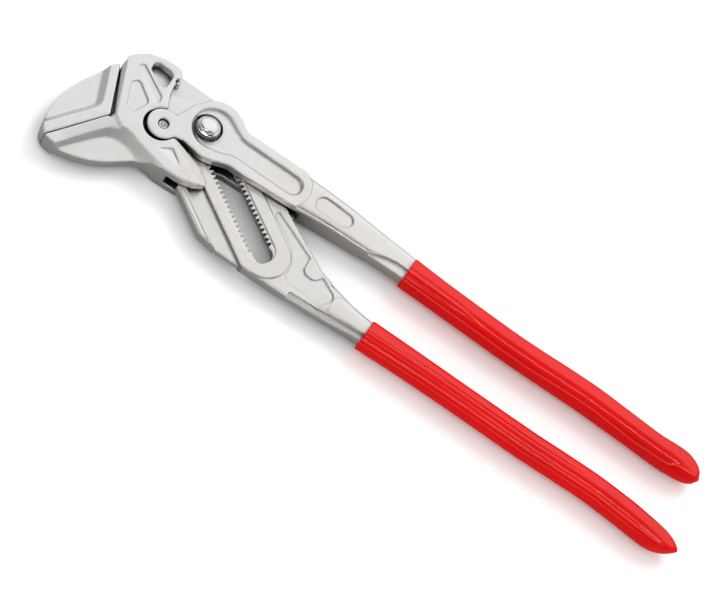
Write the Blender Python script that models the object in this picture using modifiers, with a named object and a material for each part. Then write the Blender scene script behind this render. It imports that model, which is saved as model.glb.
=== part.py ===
"""Parallel-jaw adjustable pliers, 400 mm long, built as separate pieces.

World frame: origin on the hinge-bolt axis in the plane the tool rests on, +X along the
handles, +Y from the slotted handle towards the actuating handle, +Z up out of the plane.
Front is the +Z face and back the -Z face. Lengths are in millimetres and heights are
taken from the tool's middle plane, which lies MID above the rest plane.
u runs along the slot (jaw travel), v across it; both start at the hinge-bolt axis.
"""
import math

import bmesh
import bpy

# ---------------------------------------------------------------- driving dimensions (mm)
MM = 0.001
HEAD = 9.3          # half thickness over the cheeks
MID = HEAD          # height of the middle plane above the rest plane
PLATE = 3.6         # half thickness of the slotted plate
FORK = 3.9          # half opening of the forks that straddle the plate
RIM = 6.8           # half thickness of the jaw rims
FLOOR = 3.4         # half thickness of the jaw webs inside the rims
SLOT_DEG = -32.5    # direction of the slot in plan
GAP = 0.3           # gap between neighbouring pieces
OUTSIDE = HEAD + 1.0        # height at which cutters end clear of the head
CHEEK_START = FORK - 0.2    # height at which cutters through a cheek begin

PITCH = 3.0         # pitch of the adjusting teeth
SLOT_START, SLOT_END = -12.0, 81.3
CREST, ROOT = 5.3, 6.9      # distance of the tooth crests and roots from the slot's axis
CHANNEL = 7.2       # half width of the smooth channel under the teeth
TOOTH_FLOOR = 0.6   # height at which the teeth begin

JAW_FACE = -23.7    # u of the plane in which the closed jaws meet
JAW_TIP = -88.2     # v of the jaw tips
EDGE = -29.0        # v of the plate's guide edge
GROOVE = (-24.0, -14.8)     # v of the guide groove's two walls
GROOVE_FLOOR = 1.8

BOLT = (0.0, 0.0)
BOLT_ORIGIN = (*BOLT, MID)
NOSE = (-20.5, -14.5)       # centre of the actuating lever's round nose
NOSE_R = 9.2
NOSE_PIN_R = 2.8
NOSE_PIN_DEPTH = 1.3        # depth of the pin ends below the cheek faces
SOCKET_R = NOSE_R + 0.35
SOCKET_TRAVEL = 1.95
STOP = (-27.9, 12.6)        # axis of the stop pin
STOP_R = 1.5

BORE_R = 8.4
SHANK_R = 4.9
JOURNAL_R = 5.9
BORE_PLAY = 0.1
RING_R = 7.8
RING_LOW, RING_HIGH = -8.5, -7.6
RING_PLAY = 0.2
WASHER_LOW, WASHER_HIGH = 5.6, 6.1
BUTTON_R = 7.4
BUTTON_LOW, BUTTON_TOP = 10.1, 12.5

CORNER_STEP = 15.0          # largest angle between points of a rounded corner, degrees
SHARP_ANGLE = math.radians(35)
MERGE_DISTANCE = 0.00001    # metres

SLOT_COS = math.cos(math.radians(SLOT_DEG))
SLOT_SIN = math.sin(math.radians(SLOT_DEG))


def uv(u, v, radius=0.0):
    """A point given along and across the slot, as x, y, corner radius."""
    return (u * SLOT_COS - v * SLOT_SIN, u * SLOT_SIN + v * SLOT_COS, radius)


# ---------------------------------------------------------------- scene
for old in list(bpy.data.objects):
    bpy.data.objects.remove(old, do_unlink=True)


def new_collection(name):
    collection = bpy.data.collections.new(name)
    bpy.context.scene.collection.children.link(collection)
    return collection


PARTS = new_collection("adjustable_pliers")
CUTTERS = new_collection("cutters")


def material(name, color, roughness, metallic=1.0):
    mat = bpy.data.materials.new(name)
    mat.use_nodes = True
    shader = mat.node_tree.nodes["Principled BSDF"]
    shader.inputs["Base Color"].default_value = (*color, 1.0)
    shader.inputs["Roughness"].default_value = roughness
    shader.inputs["Metallic"].default_value = metallic
    return mat


# ---------------------------------------------------------------- outlines
# An outline is a counter-clockwise list of (x, y, corner radius).
def direction(start, end):
    """Unit vector from start to end, and the distance."""
    x, y = end[0] - start[0], end[1] - start[1]
    length = math.hypot(x, y)
    return x / length, y / length, length


def ring(outline, inset):
    """The outline with its corners rounded, moved inwards by inset.

    The number of points doesn't depend on the inset, so two rings of one outline can be
    joined into a chamfered or sloping wall.
    """
    points = []
    for i, here in enumerate(outline):
        in_x, in_y, in_length = direction(outline[i - 1], here)
        out_x, out_y, out_length = direction(here, outline[(i + 1) % len(outline)])
        dot = in_x * out_x + in_y * out_y
        turn = math.atan2(in_x * out_y - in_y * out_x, dot)
        corner_x = here[0] - inset * (in_y + out_y) / (1.0 + dot)
        corner_y = here[1] + inset * (in_x + out_x) / (1.0 + dot)
        radius = here[2]
        if radius <= 0.0 or abs(turn) < 0.02:
            points.append((corner_x, corner_y))
            continue
        half_tan = math.tan(abs(turn) / 2)
        # keep the roundings at both ends of a side from meeting
        radius = min(radius, 0.48 * min(in_length, out_length) / half_tan)
        radius = max(radius - inset, 0.05) if turn > 0 else radius + inset
        start_x = corner_x - in_x * radius * half_tan
        start_y = corner_y - in_y * radius * half_tan
        side = math.copysign(1.0, turn)
        centre_x = start_x - side * in_y * radius
        centre_y = start_y + side * in_x * radius
        first = math.atan2(start_y - centre_y, start_x - centre_x)
        segments = max(1, math.ceil(abs(math.degrees(turn)) / CORNER_STEP))
        for j in range(segments + 1):
            angle = first + turn * j / segments
            points.append((centre_x + radius * math.cos(angle),
                           centre_y + radius * math.sin(angle)))
    return points


def arc(centre, radius, start, end, step):
    """Points on an arc; start, end and the largest step are in degrees."""
    count = max(2, math.ceil(abs(end - start) / step))
    angles = [math.radians(start + (end - start) * i / count) for i in range(count + 1)]
    return [(centre[0] + radius * math.cos(a), centre[1] + radius * math.sin(a), 0.0)
            for a in angles]


def stadium(first, last, radius, step):
    """Two half circles about first and last, joined by straight sides."""
    heading = math.degrees(math.atan2(last[1] - first[1], last[0] - first[0]))
    return (arc(last, radius, heading - 90, heading + 90, step)
            + arc(first, radius, heading + 90, heading + 270, step))


def uv_rectangle(u0, u1, v0, v1):
    return [uv(u0, v0), uv(u1, v0), uv(u1, v1), uv(u0, v1)]


def slot_symmetric(side, end=()):
    """Outline from one side's (u, distance from the slot's axis), and points at the +u end."""
    return [uv(u, -v) for u, v in side] + list(end) + [uv(u, v) for u, v in reversed(side)]


# ---------------------------------------------------------------- solids
# New solids are in no collection: combine() files the helpers, finish() the pieces.
def object_from_bmesh(name, bm):
    bmesh.ops.recalc_face_normals(bm, faces=bm.faces)
    mesh = bpy.data.meshes.new(name)
    bm.to_mesh(mesh)
    bm.free()
    return bpy.data.objects.new(name, mesh)


def stack_rings(name, rings):
    """Joins rings of equal point counts, bottom ring first, and closes both ends."""
    bm = bmesh.new()
    rows = [[bm.verts.new((x * MM, y * MM, z * MM)) for x, y, z in points] for points in rings]
    count = len(rows[0])
    for low, high in zip(rows, rows[1:]):
        for i in range(count):
            j = (i + 1) % count
            bm.faces.new((low[i], low[j], high[j], high[i]))
    bm.faces.new(rows[0][::-1])
    bm.faces.new(rows[-1])
    return object_from_bmesh(name, bm)


def slab(name, outline, levels):
    """A flat piece: levels lists (z, inset), bottom first."""
    return stack_rings(name, [[(x, y, z + MID) for x, y in ring(outline, inset)]
                              for z, inset in levels])


def slab_pair(name, outline, levels):
    """A slab on the front, with levels as given, and its mirror image on the back."""
    mirrored = [(-z, inset) for z, inset in reversed(levels)]
    return [slab(name + "_front", outline, levels), slab(name + "_back", outline, mirrored)]


def chamfered(half, inset, depth):
    """Levels of a slab whose top and bottom edges are both chamfered."""
    return [(-half, inset), (-half + depth, 0.0), (half - depth, 0.0), (half, inset)]


def bar(name, stations, power, grow=0.0):
    """A superelliptic bar along X: stations are (x, y centre, half width, half thickness)."""
    count = 24
    exponent = 2.0 / power
    rings = []
    for x, y_centre, half_width, half_thickness in stations:
        points = []
        for i in range(count):
            angle = 2 * math.pi * i / count
            ca, sa = math.cos(angle), math.sin(angle)
            y = y_centre + (half_width + grow) * math.copysign(abs(ca) ** exponent, ca)
            z = MID + (half_thickness + grow) * math.copysign(abs(sa) ** exponent, sa)
            points.append((x, y, z))
        rings.append(points)
    return stack_rings(name, rings)


def cylinder(name, centre, radius, z0, z1, segments=48):
    bm = bmesh.new()
    bmesh.ops.create_cone(bm, cap_ends=True, segments=segments, radius1=radius * MM,
                          radius2=radius * MM, depth=(z1 - z0) * MM)
    middle = (centre[0] * MM, centre[1] * MM, ((z0 + z1) / 2 + MID) * MM)
    bmesh.ops.translate(bm, vec=middle, verts=bm.verts)
    return object_from_bmesh(name, bm)


def turned(name, profile):
    """A piece turned about the bolt axis: profile lists (radius, z).

    A profile that keeps off the axis is closed, which leaves a hole through the piece.
    """
    points = [(r * MM, 0.0, (z + MID) * MM) for r, z in reversed(profile)]
    edges = [(i, i + 1) for i in range(len(points) - 1)]
    if min(r for r, _ in profile) > 0.0:
        edges.append((len(points) - 1, 0))
    mesh = bpy.data.meshes.new(name)
    mesh.from_pydata(points, edges, [])
    ob = bpy.data.objects.new(name, mesh)
    turn = ob.modifiers.new("turn", "SCREW")
    turn.axis = "Z"
    turn.angle = 2 * math.pi
    turn.steps = turn.render_steps = 48
    turn.use_merge_vertices = True
    turn.merge_threshold = MERGE_DISTANCE
    return ob


def combine(ob, helpers, operation):
    """Adds a boolean for each helper object and hides the helpers from renders."""
    for helper in helpers:
        CUTTERS.objects.link(helper)
        helper.hide_render = True
        helper.display_type = "WIRE"
        boolean = ob.modifiers.new(helper.name, "BOOLEAN")
        boolean.operation = operation
        boolean.solver = "EXACT"
        boolean.object = helper


def finish(ob, mat, origin=(0.0, 0.0, 0.0)):
    """Puts a piece in the scene with its origin, material and shading."""
    PARTS.objects.link(ob)
    origin_x, origin_y, origin_z = (c * MM for c in origin)
    for vertex in ob.data.vertices:
        vertex.co.x -= origin_x
        vertex.co.y -= origin_y
        vertex.co.z -= origin_z
    ob.location = (origin_x, origin_y, origin_z)
    ob.data.materials.append(mat)
    ob.data.shade_smooth()
    ob.data.set_sharp_from_angle(angle=SHARP_ANGLE)


RIM_LEVELS = chamfered(RIM, inset=0.6, depth=0.6)

# ================================================================ slotted lever
FIXED_JAW = [
    uv(JAW_FACE - GAP / 2, JAW_TIP, 0.8), uv(JAW_FACE - GAP / 2, -48.4, 0.6),
    (-58.6, 1.0, 0.8), (-60.0, 3.0, 1.0), (-62.4, -1.0, 6), (-64.4, -6.5, 8),
    (-67.3, -13.5, 20), (-70.3, -20.5, 20), (-72.5, -27.5, 20), (-73.9, -35.0, 20),
    (-74.2, -42.0, 20), (-73.5, -48.5, 20), (-72.0, -54.6, 8), (-70.4, -58.6, 2.5),
]
PLATE_OUTLINE = [
    uv(JAW_FACE - GAP / 2, -47.0), uv(JAW_FACE - GAP / 2, EDGE, 1.2), uv(54.5, EDGE, 7),
    (44.0, -55.5, 5), (60.0, -54.9, 0), (75.0, -54.1, 0), (90.0, -53.2, 0),
    (104.0, -52.2, 0), (104.0, -29.9, 0), (96.3, -27.9, 12), (5.5, 20.2, 8),
    (-28.0, 19.6, 12), (-39.0, 18.6, 10), (-49.0, 14.4, 10), (-55.6, 7.4, 3),
    (-57.8, 2.2, 0), (-59.6, -4.0, 0), (-49.5, -28.0, 0),
]
# recess that leaves a rim round the fixed jaw
FIXED_RECESS = [(-56.1, -26.3, 6), (-70.5, 8.0, 0), (-95.0, 8.0, 0), (-95.0, -75.0, 0),
                uv(-33.2, -95.0)]
# shallow recess where the plate meets the handle
EAR_RECESS = [
    (80.3, -45.0, 4), (105.5, -46.2, 5), (111.2, -37.2, 5), (98.6, -30.4, 1.5),
    (95.0, -35.0, 4), (88.0, -35.0, 4), (86.2, -25.3, 1), (57.4, -12.4, 1.5),
    (58.0, -16.5, 2), (74.5, -26.0, 16), (81.5, -36.0, 16),
]
# bar stations: x, y centre, half width, half thickness
LOWER_TANG = [
    (97.0, -40.4, 11.7, 3.3), (104.0, -41.0, 11.2, 3.7), (112.0, -41.3, 10.0, 4.4),
    (121.0, -41.9, 8.0, 5.0), (128.0, -42.0, 7.0, 5.4), (134.0, -42.0, 6.6, 5.5),
    (142.0, -41.8, 5.8, 5.3), (200.0, -40.0, 5.3, 4.8), (260.0, -37.9, 5.0, 4.4),
    (285.0, -36.8, 4.8, 4.2), (322.0, -38.3, 4.0, 3.6),
]
VALLEY_FLOOR = 0.75     # half length of the valley between two teeth, at its root
VALLEY_MOUTH = 1.05     # the same at the crests
SLOT_END_BULGE = 0.6    # extra half width of the toothless +u end of the slot


def toothed_slot():
    """Outline of the slot above the channel, with teeth along both sides."""
    teeth = int((SLOT_END - PITCH - CHANNEL - SLOT_START) / PITCH)
    side = []
    for i in range(teeth):
        u = SLOT_START + PITCH * (i + 1)
        side += [(u - VALLEY_FLOOR, ROOT), (u + VALLEY_FLOOR, ROOT),
                 (u + VALLEY_MOUTH, CREST), (u + PITCH - VALLEY_MOUTH, CREST)]
    # the last crest stops halfway, where the rounded end begins
    end_u = u + PITCH / 2
    side[-1] = (end_u, CREST)
    end = []
    for i in range(1, 8):
        angle = math.radians(-90 + 180 * i / 8)
        end.append(uv(end_u + (SLOT_END - end_u) * math.cos(angle),
                      (CREST + SLOT_END_BULGE) * math.sin(angle)))
    return slot_symmetric(side, end)


def slotted_lever():
    lever = slab("slotted_lever", PLATE_OUTLINE, chamfered(PLATE, inset=0.8, depth=0.8))
    combine(lever, [
        slab("slotted_lever_jaw", FIXED_JAW, RIM_LEVELS),
        bar("slotted_lever_tang", LOWER_TANG, power=3.0),
    ], "UNION")
    channel = stadium(uv(SLOT_START + CHANNEL, 0), uv(SLOT_END - CHANNEL, 0), CHANNEL, 15.0)
    combine(lever, [
        *slab_pair("slotted_lever_recess", FIXED_RECESS, [(FLOOR, 0.0), (RIM + 1.5, -4.6)]),
        *slab_pair("slotted_lever_groove", uv_rectangle(-60.0, 110.0, *GROOVE),
                   [(GROOVE_FLOOR, 0.0), (PLATE + 2.0, 0.0)]),
        slab("slotted_lever_channel", channel, [(-PLATE - 1.0, 0.0), (TOOTH_FLOOR, 0.0)]),
        # starts below the channel's top, so that the two cuts overlap
        slab("slotted_lever_teeth", toothed_slot(), [(0.0, 0.0), (PLATE + 1.0, 0.0)]),
        *slab_pair("slotted_lever_ear", EAR_RECESS, [(PLATE - 0.5, 0.4), (PLATE + 3.0, -1.5)]),
    ], "DIFFERENCE")
    finish(lever, material("forged_steel_slotted", color=(0.56, 0.56, 0.55), roughness=0.42))


# ================================================================ sliding jaw
# the nose's socket reaches from the nose to this centre, shifted towards -v
SOCKET_SHIFTED = (NOSE[0] + SOCKET_TRAVEL * SLOT_SIN, NOSE[1] - SOCKET_TRAVEL * SLOT_COS)
CHEEK = [
    (-45.0, -28.6, 0.6), (-40.0, -31.6, 2), (-34.0, -29.4, 3), (-24.2, -31.6, 0),
    (-8.0, -35.8, 0), (5.2, -36.9, 6), (12.4, -34.6, 3), (17.6, -30.4, 1.2),
    (-9.6, -17.2, 0.8),
    *arc(NOSE, SOCKET_R, -18, SLOT_DEG, 7),
    *arc(SOCKET_SHIFTED, SOCKET_R, SLOT_DEG, SLOT_DEG - 180, 12),
    *arc(NOSE, SOCKET_R, SLOT_DEG - 180, -249, 10),
    (-24.3, -3.3, 0.5), (-27.4, 3.3, 3), (-28.5, 9.5, 4), (-28.2, 17.0, 2),
    (-31.0, 20.3, 3), (-39.5, 19.9, 12), (-50.5, 16.4, 12), (-57.6, 8.6, 3),
    (-57.9, 1.2, 1),
]
JAW_CORE = [
    uv(JAW_FACE + GAP / 2, EDGE - GAP, 1.2), uv(JAW_FACE + GAP / 2, JAW_TIP, 0.6),
    (-61.0, -62.6, 1.5), (-56.0, -62.7, 5), (-47.6, -60.3, 20), (-39.5, -56.6, 20),
    (-32.7, -51.9, 20), (-26.5, -46.0, 12), (-20.8, -40.8, 8), (-13.0, -38.0, 8),
    (-2.5, -37.4, 0), (-2.5, -33.25, 0),
]
JAW_RECESS = [
    uv(-14.2, -93.0), (-10.0, -78.0, 0), (4.0, -56.0, 0), (-6.0, -44.4, 0),
    (-18.6, -40.2, 0), (-26.0, -37.9, 4), (-31.5, -36.6, 6), (-38.2, -33.9, 6),
]
# fan-shaped pocket on the inner face of each cheek
CHEEK_POCKET = [
    (NOSE[0] - 3.0, NOSE[1] + 4.0, 0), *arc(NOSE, 30.5, 84, 112, 7),
    *arc(NOSE, 24.5, 122, 148, 7), *arc(NOSE, 14.4, 154, 174, 7),
]
WINDOW = [
    (-43.6, 9.6, 1.2), (-34.6, 4.4, 2.0), (-31.9, 5.2, 1.5), (-32.3, 13.0, 2.0),
    (-34.5, 14.7, 1.5), (-42.0, 15.0, 2.2), (-44.2, 13.2, 2.0),
]
# shallow tear-shaped recess on the outer face of each cheek
TEAR = [(-48.0, -4.6, 3), (-42.0, -18.0, 3.5), (-37.0, -19.4, 4), (-33.8, -9.2, 3),
        (-45.0, -1.2, 2.5)]
RIB_U = (-46.0, 24.0)
RIB_V = (GROOVE[0] + GAP, GROOVE[1] - GAP)
RIB_TOP = FORK - GAP
ROOT_MARGIN = 0.1       # set-back of the rib roots from the rib's sides
TEAR_DEPTH = 0.8


def jaw_ribs():
    """Ribs that run in the plate's grooves, with roots that join them to the cheeks.

    The roots stand on either side of the nose along the slot; between them the ribs
    stay clear of the cheeks.
    """
    ribs = slab_pair("sliding_jaw_rib", uv_rectangle(*RIB_U, *RIB_V),
                     [(GROOVE_FLOOR + GAP, 0.0), (RIB_TOP, 0.0)])
    roots = (
        ("root", RIB_U[0] + ROOT_MARGIN, -20.2, RIB_V[1] - ROOT_MARGIN),
        ("toe", 2.5, RIB_U[1] - ROOT_MARGIN, -20.6),
    )
    for label, u0, u1, v1 in roots:
        ribs += slab_pair("sliding_jaw_rib_" + label,
                          uv_rectangle(u0, u1, RIB_V[0] + ROOT_MARGIN, v1),
                          [(RIB_TOP - 0.4, 0.0), (FORK + 0.1, 0.0)])
    return ribs


def sliding_jaw():
    jaw = slab("sliding_jaw", JAW_CORE, RIM_LEVELS)
    cheeks = slab_pair("sliding_jaw_cheek", CHEEK,
                       [(FORK, 0.0), (HEAD - 1.0, 0.0), (HEAD, 0.8)])
    combine(jaw, cheeks + jaw_ribs(), "UNION")
    through_cheek = [(CHEEK_START, 0.0), (OUTSIDE, 0.0)]
    combine(jaw, [
        *slab_pair("sliding_jaw_recess", JAW_RECESS, [(FLOOR, 0.0), (HEAD + 0.6, -6.0)]),
        *slab_pair("sliding_jaw_socket", stadium(SOCKET_SHIFTED, NOSE, SOCKET_R, 10.0),
                   [(FORK - GAP, 0.0), (OUTSIDE, 0.0)]),
        *slab_pair("sliding_jaw_pocket", CHEEK_POCKET,
                   [(CHEEK_START, 0.0), (HEAD - 2.2, 0.0)]),
        *slab_pair("sliding_jaw_window", WINDOW, through_cheek),
        *slab_pair("sliding_jaw_tear", TEAR, [(HEAD - TEAR_DEPTH, 0.6), (OUTSIDE, -0.4)]),
        # seat of the stop pin, in the front cheek only
        slab("sliding_jaw_notch", arc(STOP, STOP_R + GAP, 0, 330, 30), through_cheek),
    ], "DIFFERENCE")
    finish(jaw, material("forged_steel_jaw", color=(0.58, 0.58, 0.57), roughness=0.42))


def stop_pin():
    pin = cylinder("stop_pin", STOP, STOP_R, FORK + 0.1, 7.2, segments=24)
    finish(pin, material("pin_steel", color=(0.5, 0.5, 0.5), roughness=0.3),
           origin=(*STOP, MID))


# ================================================================ actuating lever
HEAD_OUTLINE = [
    *arc(NOSE, NOSE_R, 113, 342, 12),
    (-6.4, -15.7, 3), (0.0, -16.6, 8), (6.0, -17.6, 8), (12.0, -15.9, 8), (20.0, -11.9, 10),
    (31.0, -11.3, 10), (45.0, -9.7, 0), (60.0, -8.6, 0), (78.0, -6.0, 0), (78.0, 15.0, 0),
    (58.0, 14.9, 0), (28.0, 13.2, 12), (18.5, 12.4, 8), (12.6, 17.0, 8), (6.0, 19.6, 10),
    (-1.0, 19.4, 8), (-6.8, 16.2, 8), (-10.9, 13.2, 8), (-17.0, 10.0, 0), (-27.6, 4.6, 1.2),
]
# lowered flank beside the nose, which leaves room for the sliding jaw's cheek
FLANK = [
    (-14.4, 30.0, 0), (-60.0, 30.0, 0), (-60.0, -6.0, 0), (-29.5, -8.0, 0),
    *arc(NOSE, NOSE_R + 0.2, 124, 74, 10), (-15.4, 1.0, 3), (-13.6, 7.0, 6), (-8.6, 13.6, 4),
]
FLANK_DEPTH = 2.5
# shallow pocket round the bolt and along the arm
HEAD_POCKET = [
    *arc((2.9, 1.5), 12.2, 64, 282, 12), (13.0, -8.4, 8), (20.0, -4.9, 10),
    (54.6, -3.2, 5.5), (60.6, -2.6, 5.6), (60.8, 8.2, 5.6), (54.0, 8.4, 0),
    (20.0, 6.7, 10), (13.5, 9.6, 8),
]
HEAD_POCKET_DEPTH = 0.9
# bar stations: x, y centre, half width, half thickness
UPPER_TANG = [
    (68.0, 3.8, 11.2, 7.4), (85.0, 5.0, 10.0, 6.9), (100.0, 5.45, 9.15, 6.4),
    (115.0, 5.7, 8.1, 5.9), (128.0, 5.85, 7.55, 5.6), (134.0, 5.8, 7.3, 5.5),
    (142.0, 5.5, 6.2, 5.3), (200.0, 5.4, 5.4, 4.8), (240.0, 7.2, 5.2, 4.5),
    (260.0, 8.0, 5.0, 4.4), (300.0, 7.6, 4.6, 4.0), (314.0, 8.0, 4.0, 3.6),
]
# the fork's closed end is a line in plan: its normal, and its distance from the bolt axis
FORK_NORMAL = (0.466, 0.885)
FORK_DISTANCE = 25.1
TAPER_X = (24.0, 84.0)
TAPER_END = 7.2         # half thickness to which the taper comes down


def taper(side, sign):
    """A long wedge that thins the head towards the arm."""
    top = HEAD + 6.0
    section = ((TAPER_X[0], HEAD), (TAPER_X[1], TAPER_END), (TAPER_X[1], top), (TAPER_X[0], top))
    rings = [[(x, y, MID + sign * z) for x, z in section] for y in (-30.0, 40.0)]
    return stack_rings("actuating_lever_taper_" + side, rings)


def fork_outline():
    def end_x(y):
        return (FORK_DISTANCE - FORK_NORMAL[1] * y) / FORK_NORMAL[0]

    low, high, far = -40.0, 40.0, -60.0
    return [(end_x(low), low, 0), (end_x(high), high, 0), (far, high, 0), (far, low, 0)]


def actuating_lever():
    name = "actuating_lever"
    lever = slab(name, HEAD_OUTLINE, chamfered(HEAD, inset=1.2, depth=1.4))
    combine(lever, [bar(name + "_tang", UPPER_TANG, power=3.2)], "UNION")
    combine(lever, [
        taper("front", 1),
        taper("back", -1),
        slab(name + "_fork", fork_outline(), [(-FORK, 0.0), (FORK, 0.0)]),
        *slab_pair(name + "_flank", FLANK, [(HEAD - FLANK_DEPTH, 0.0), (OUTSIDE, 0.0)]),
        *slab_pair(name + "_pocket", HEAD_POCKET,
                   [(HEAD - HEAD_POCKET_DEPTH, 0.5), (OUTSIDE, -0.9)]),
        cylinder(name + "_bore", BOLT, BORE_R, 5.4, OUTSIDE),
        cylinder(name + "_shank_bore", BOLT, SHANK_R + BORE_PLAY, FORK - 0.5, 5.9),
        cylinder(name + "_journal_bore", BOLT, JOURNAL_R + BORE_PLAY, -OUTSIDE, -FORK + 0.5),
        cylinder(name + "_ring_bore", BOLT, RING_R + 0.5, -OUTSIDE, RING_HIGH + GAP),
        cylinder(name + "_nose_hole", NOSE, NOSE_PIN_R + GAP, -OUTSIDE, OUTSIDE, segments=32),
    ], "DIFFERENCE")
    finish(lever, material("forged_steel_lever", color=(0.57, 0.57, 0.56), roughness=0.42),
           origin=BOLT_ORIGIN)


def nose_pins():
    """A short pin in the nose hole on each side of the fork's opening."""
    steel = material("dowel_steel", color=(0.5, 0.5, 0.5), roughness=0.35)
    inner, outer = FORK + GAP, HEAD - NOSE_PIN_DEPTH
    for side, z0, z1 in (("front", inner, outer), ("back", -outer, -inner)):
        pin = cylinder("nose_pin_" + side, NOSE, NOSE_PIN_R, z0, z1, segments=32)
        finish(pin, steel, origin=(*NOSE, MID))


# ================================================================ dipped grips
# bar stations: x, y centre, half width, half thickness
UPPER_GRIP = [
    (134.0, 5.3, 8.4, 9.0), (160.0, 5.1, 7.8, 8.9), (200.0, 5.3, 7.6, 8.8),
    (220.0, 6.0, 7.7, 8.8), (240.0, 7.2, 7.9, 8.8), (260.0, 8.0, 7.9, 8.8),
    (280.0, 7.8, 7.6, 8.8), (300.0, 7.6, 7.4, 8.8), (312.0, 8.2, 7.8, 8.9),
    (318.0, 8.4, 7.8, 8.6), (324.0, 8.1, 6.9, 7.6), (328.5, 7.7, 5.2, 5.8),
    (331.2, 7.4, 3.0, 3.4), (332.6, 7.3, 1.0, 1.2),
]
LOWER_GRIP = [
    (134.0, -42.4, 8.2, 9.0), (160.0, -41.2, 7.7, 8.9), (200.0, -40.0, 7.4, 8.8),
    (240.0, -39.0, 7.5, 8.8), (260.0, -37.9, 7.5, 8.8), (285.0, -36.8, 7.4, 8.8),
    (305.0, -37.3, 7.4, 8.8), (320.0, -38.4, 7.2, 8.7), (328.0, -38.8, 6.7, 8.2),
    (334.0, -38.5, 5.3, 6.4), (338.0, -38.0, 3.5, 4.2), (340.6, -37.6, 1.8, 2.2),
    (341.8, -37.5, 0.7, 0.9),
]
HOLLOW_START = 120.0    # tang stations beyond this x shape the hollow
HOLLOW_END_PLAY = 0.6


def grip(name, stations, tang, mat, origin):
    """A sleeve, closed at its far end, hollowed to clear its tang."""
    sleeve = bar(name, stations, power=2.5)
    hollow = [station for station in tang if station[0] > HOLLOW_START]
    last_x, *last_section = hollow[-1]
    hollow[-1] = (last_x + HOLLOW_END_PLAY, *last_section)
    combine(sleeve, [bar(name + "_hollow", hollow, power=3.1, grow=GAP + 0.05)], "DIFFERENCE")
    finish(sleeve, mat, origin)


def grips():
    red = material("red_dip", color=(0.62, 0.01, 0.012), roughness=0.3, metallic=0.0)
    grip("actuating_lever_grip", UPPER_GRIP, UPPER_TANG, red, BOLT_ORIGIN)
    grip("slotted_lever_grip", LOWER_GRIP, LOWER_TANG, red, (0.0, 0.0, 0.0))


# ================================================================ hinge bolt and push button
BLOCK_END = 7.4         # half length of the toothed block
BLOCK_ROOT = CREST - GAP
BLOCK_CREST = ROOT - GAP
JOURNAL_NECK_R = 5.1    # radius inside the retaining ring's groove
SPIGOT_R = 4.7          # spigot that joins the journal to the toothed block
SPIGOT_TOP = 1.3


def hinge_bolt():
    """A toothed block between a shank in front and a journal behind."""
    side = [(-BLOCK_END, BLOCK_ROOT)]
    for i in range(-2, 3):
        u = PITCH * i
        side += [(u - 0.8, BLOCK_ROOT), (u - 0.5, BLOCK_CREST),
                 (u + 0.5, BLOCK_CREST), (u + 0.8, BLOCK_ROOT)]
    side.append((BLOCK_END, BLOCK_ROOT))
    bolt = slab("hinge_bolt", slot_symmetric(side),
                [(TOOTH_FLOOR + GAP / 2, 0.0), (PLATE - GAP / 2, 0.0)])
    groove_low, groove_high = RING_LOW - RING_PLAY, RING_HIGH + RING_PLAY
    journal = [
        (0, -HEAD), (JOURNAL_R - 0.6, -HEAD), (JOURNAL_R, -HEAD + 0.4),
        (JOURNAL_R, groove_low), (JOURNAL_NECK_R, groove_low),
        (JOURNAL_NECK_R, groove_high), (JOURNAL_R, groove_high),
        (JOURNAL_R, -GAP / 2), (SPIGOT_R, -GAP / 2), (SPIGOT_R, SPIGOT_TOP), (0, SPIGOT_TOP),
    ]
    combine(bolt, [
        cylinder("hinge_bolt_shank", BOLT, SHANK_R, 1.0, 10.7),
        turned("hinge_bolt_journal", journal),
    ], "UNION")
    finish(bolt, material("bolt_steel", color=(0.45, 0.45, 0.45), roughness=0.35),
           origin=BOLT_ORIGIN)


def push_button():
    """A domed cap with a round hollow over the end of the shank."""
    hollow_r, hollow_top = SHANK_R + 0.3, BUTTON_TOP - 1.5
    button = turned("push_button", [
        (0, hollow_top), (hollow_r, hollow_top), (hollow_r, BUTTON_LOW),
        (BUTTON_R, BUTTON_LOW), (BUTTON_R, 11.2), (5.6, BUTTON_TOP - 0.15),
        (5.3, BUTTON_TOP), (0, BUTTON_TOP),
    ])
    finish(button, material("chrome_button", color=(0.78, 0.78, 0.78), roughness=0.08),
           origin=BOLT_ORIGIN)


def retaining_ring():
    """An open ring in the journal's groove, its opening towards -X."""
    outline = arc(BOLT, RING_R, -160, 160, 12) + arc(BOLT, 5.35, 160, -160, 12)
    clip = slab("retaining_ring", outline, [(RING_LOW, 0.0), (RING_HIGH, 0.0)])
    finish(clip, material("spring_steel", color=(0.3, 0.3, 0.3), roughness=0.4),
           origin=BOLT_ORIGIN)


def spring_seat_washer():
    inner, outer = SHANK_R + 0.5, 8.0
    washer = turned("spring_seat_washer", [
        (inner, WASHER_LOW), (outer, WASHER_LOW), (outer, WASHER_HIGH), (inner, WASHER_HIGH),
    ])
    finish(washer, material("washer_steel", color=(0.5, 0.5, 0.5), roughness=0.4),
           origin=BOLT_ORIGIN)


# ================================================================ return spring
WIRE_R = 0.35
COIL_LOW, COIL_HIGH = 7.6, 6.2      # radii of the coil at its bottom and top
TURNS = 2.25
STEPS_PER_TURN = 24
SPRING_PLAY = 0.1       # between the spring and the washer, and the spring and the button


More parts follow.
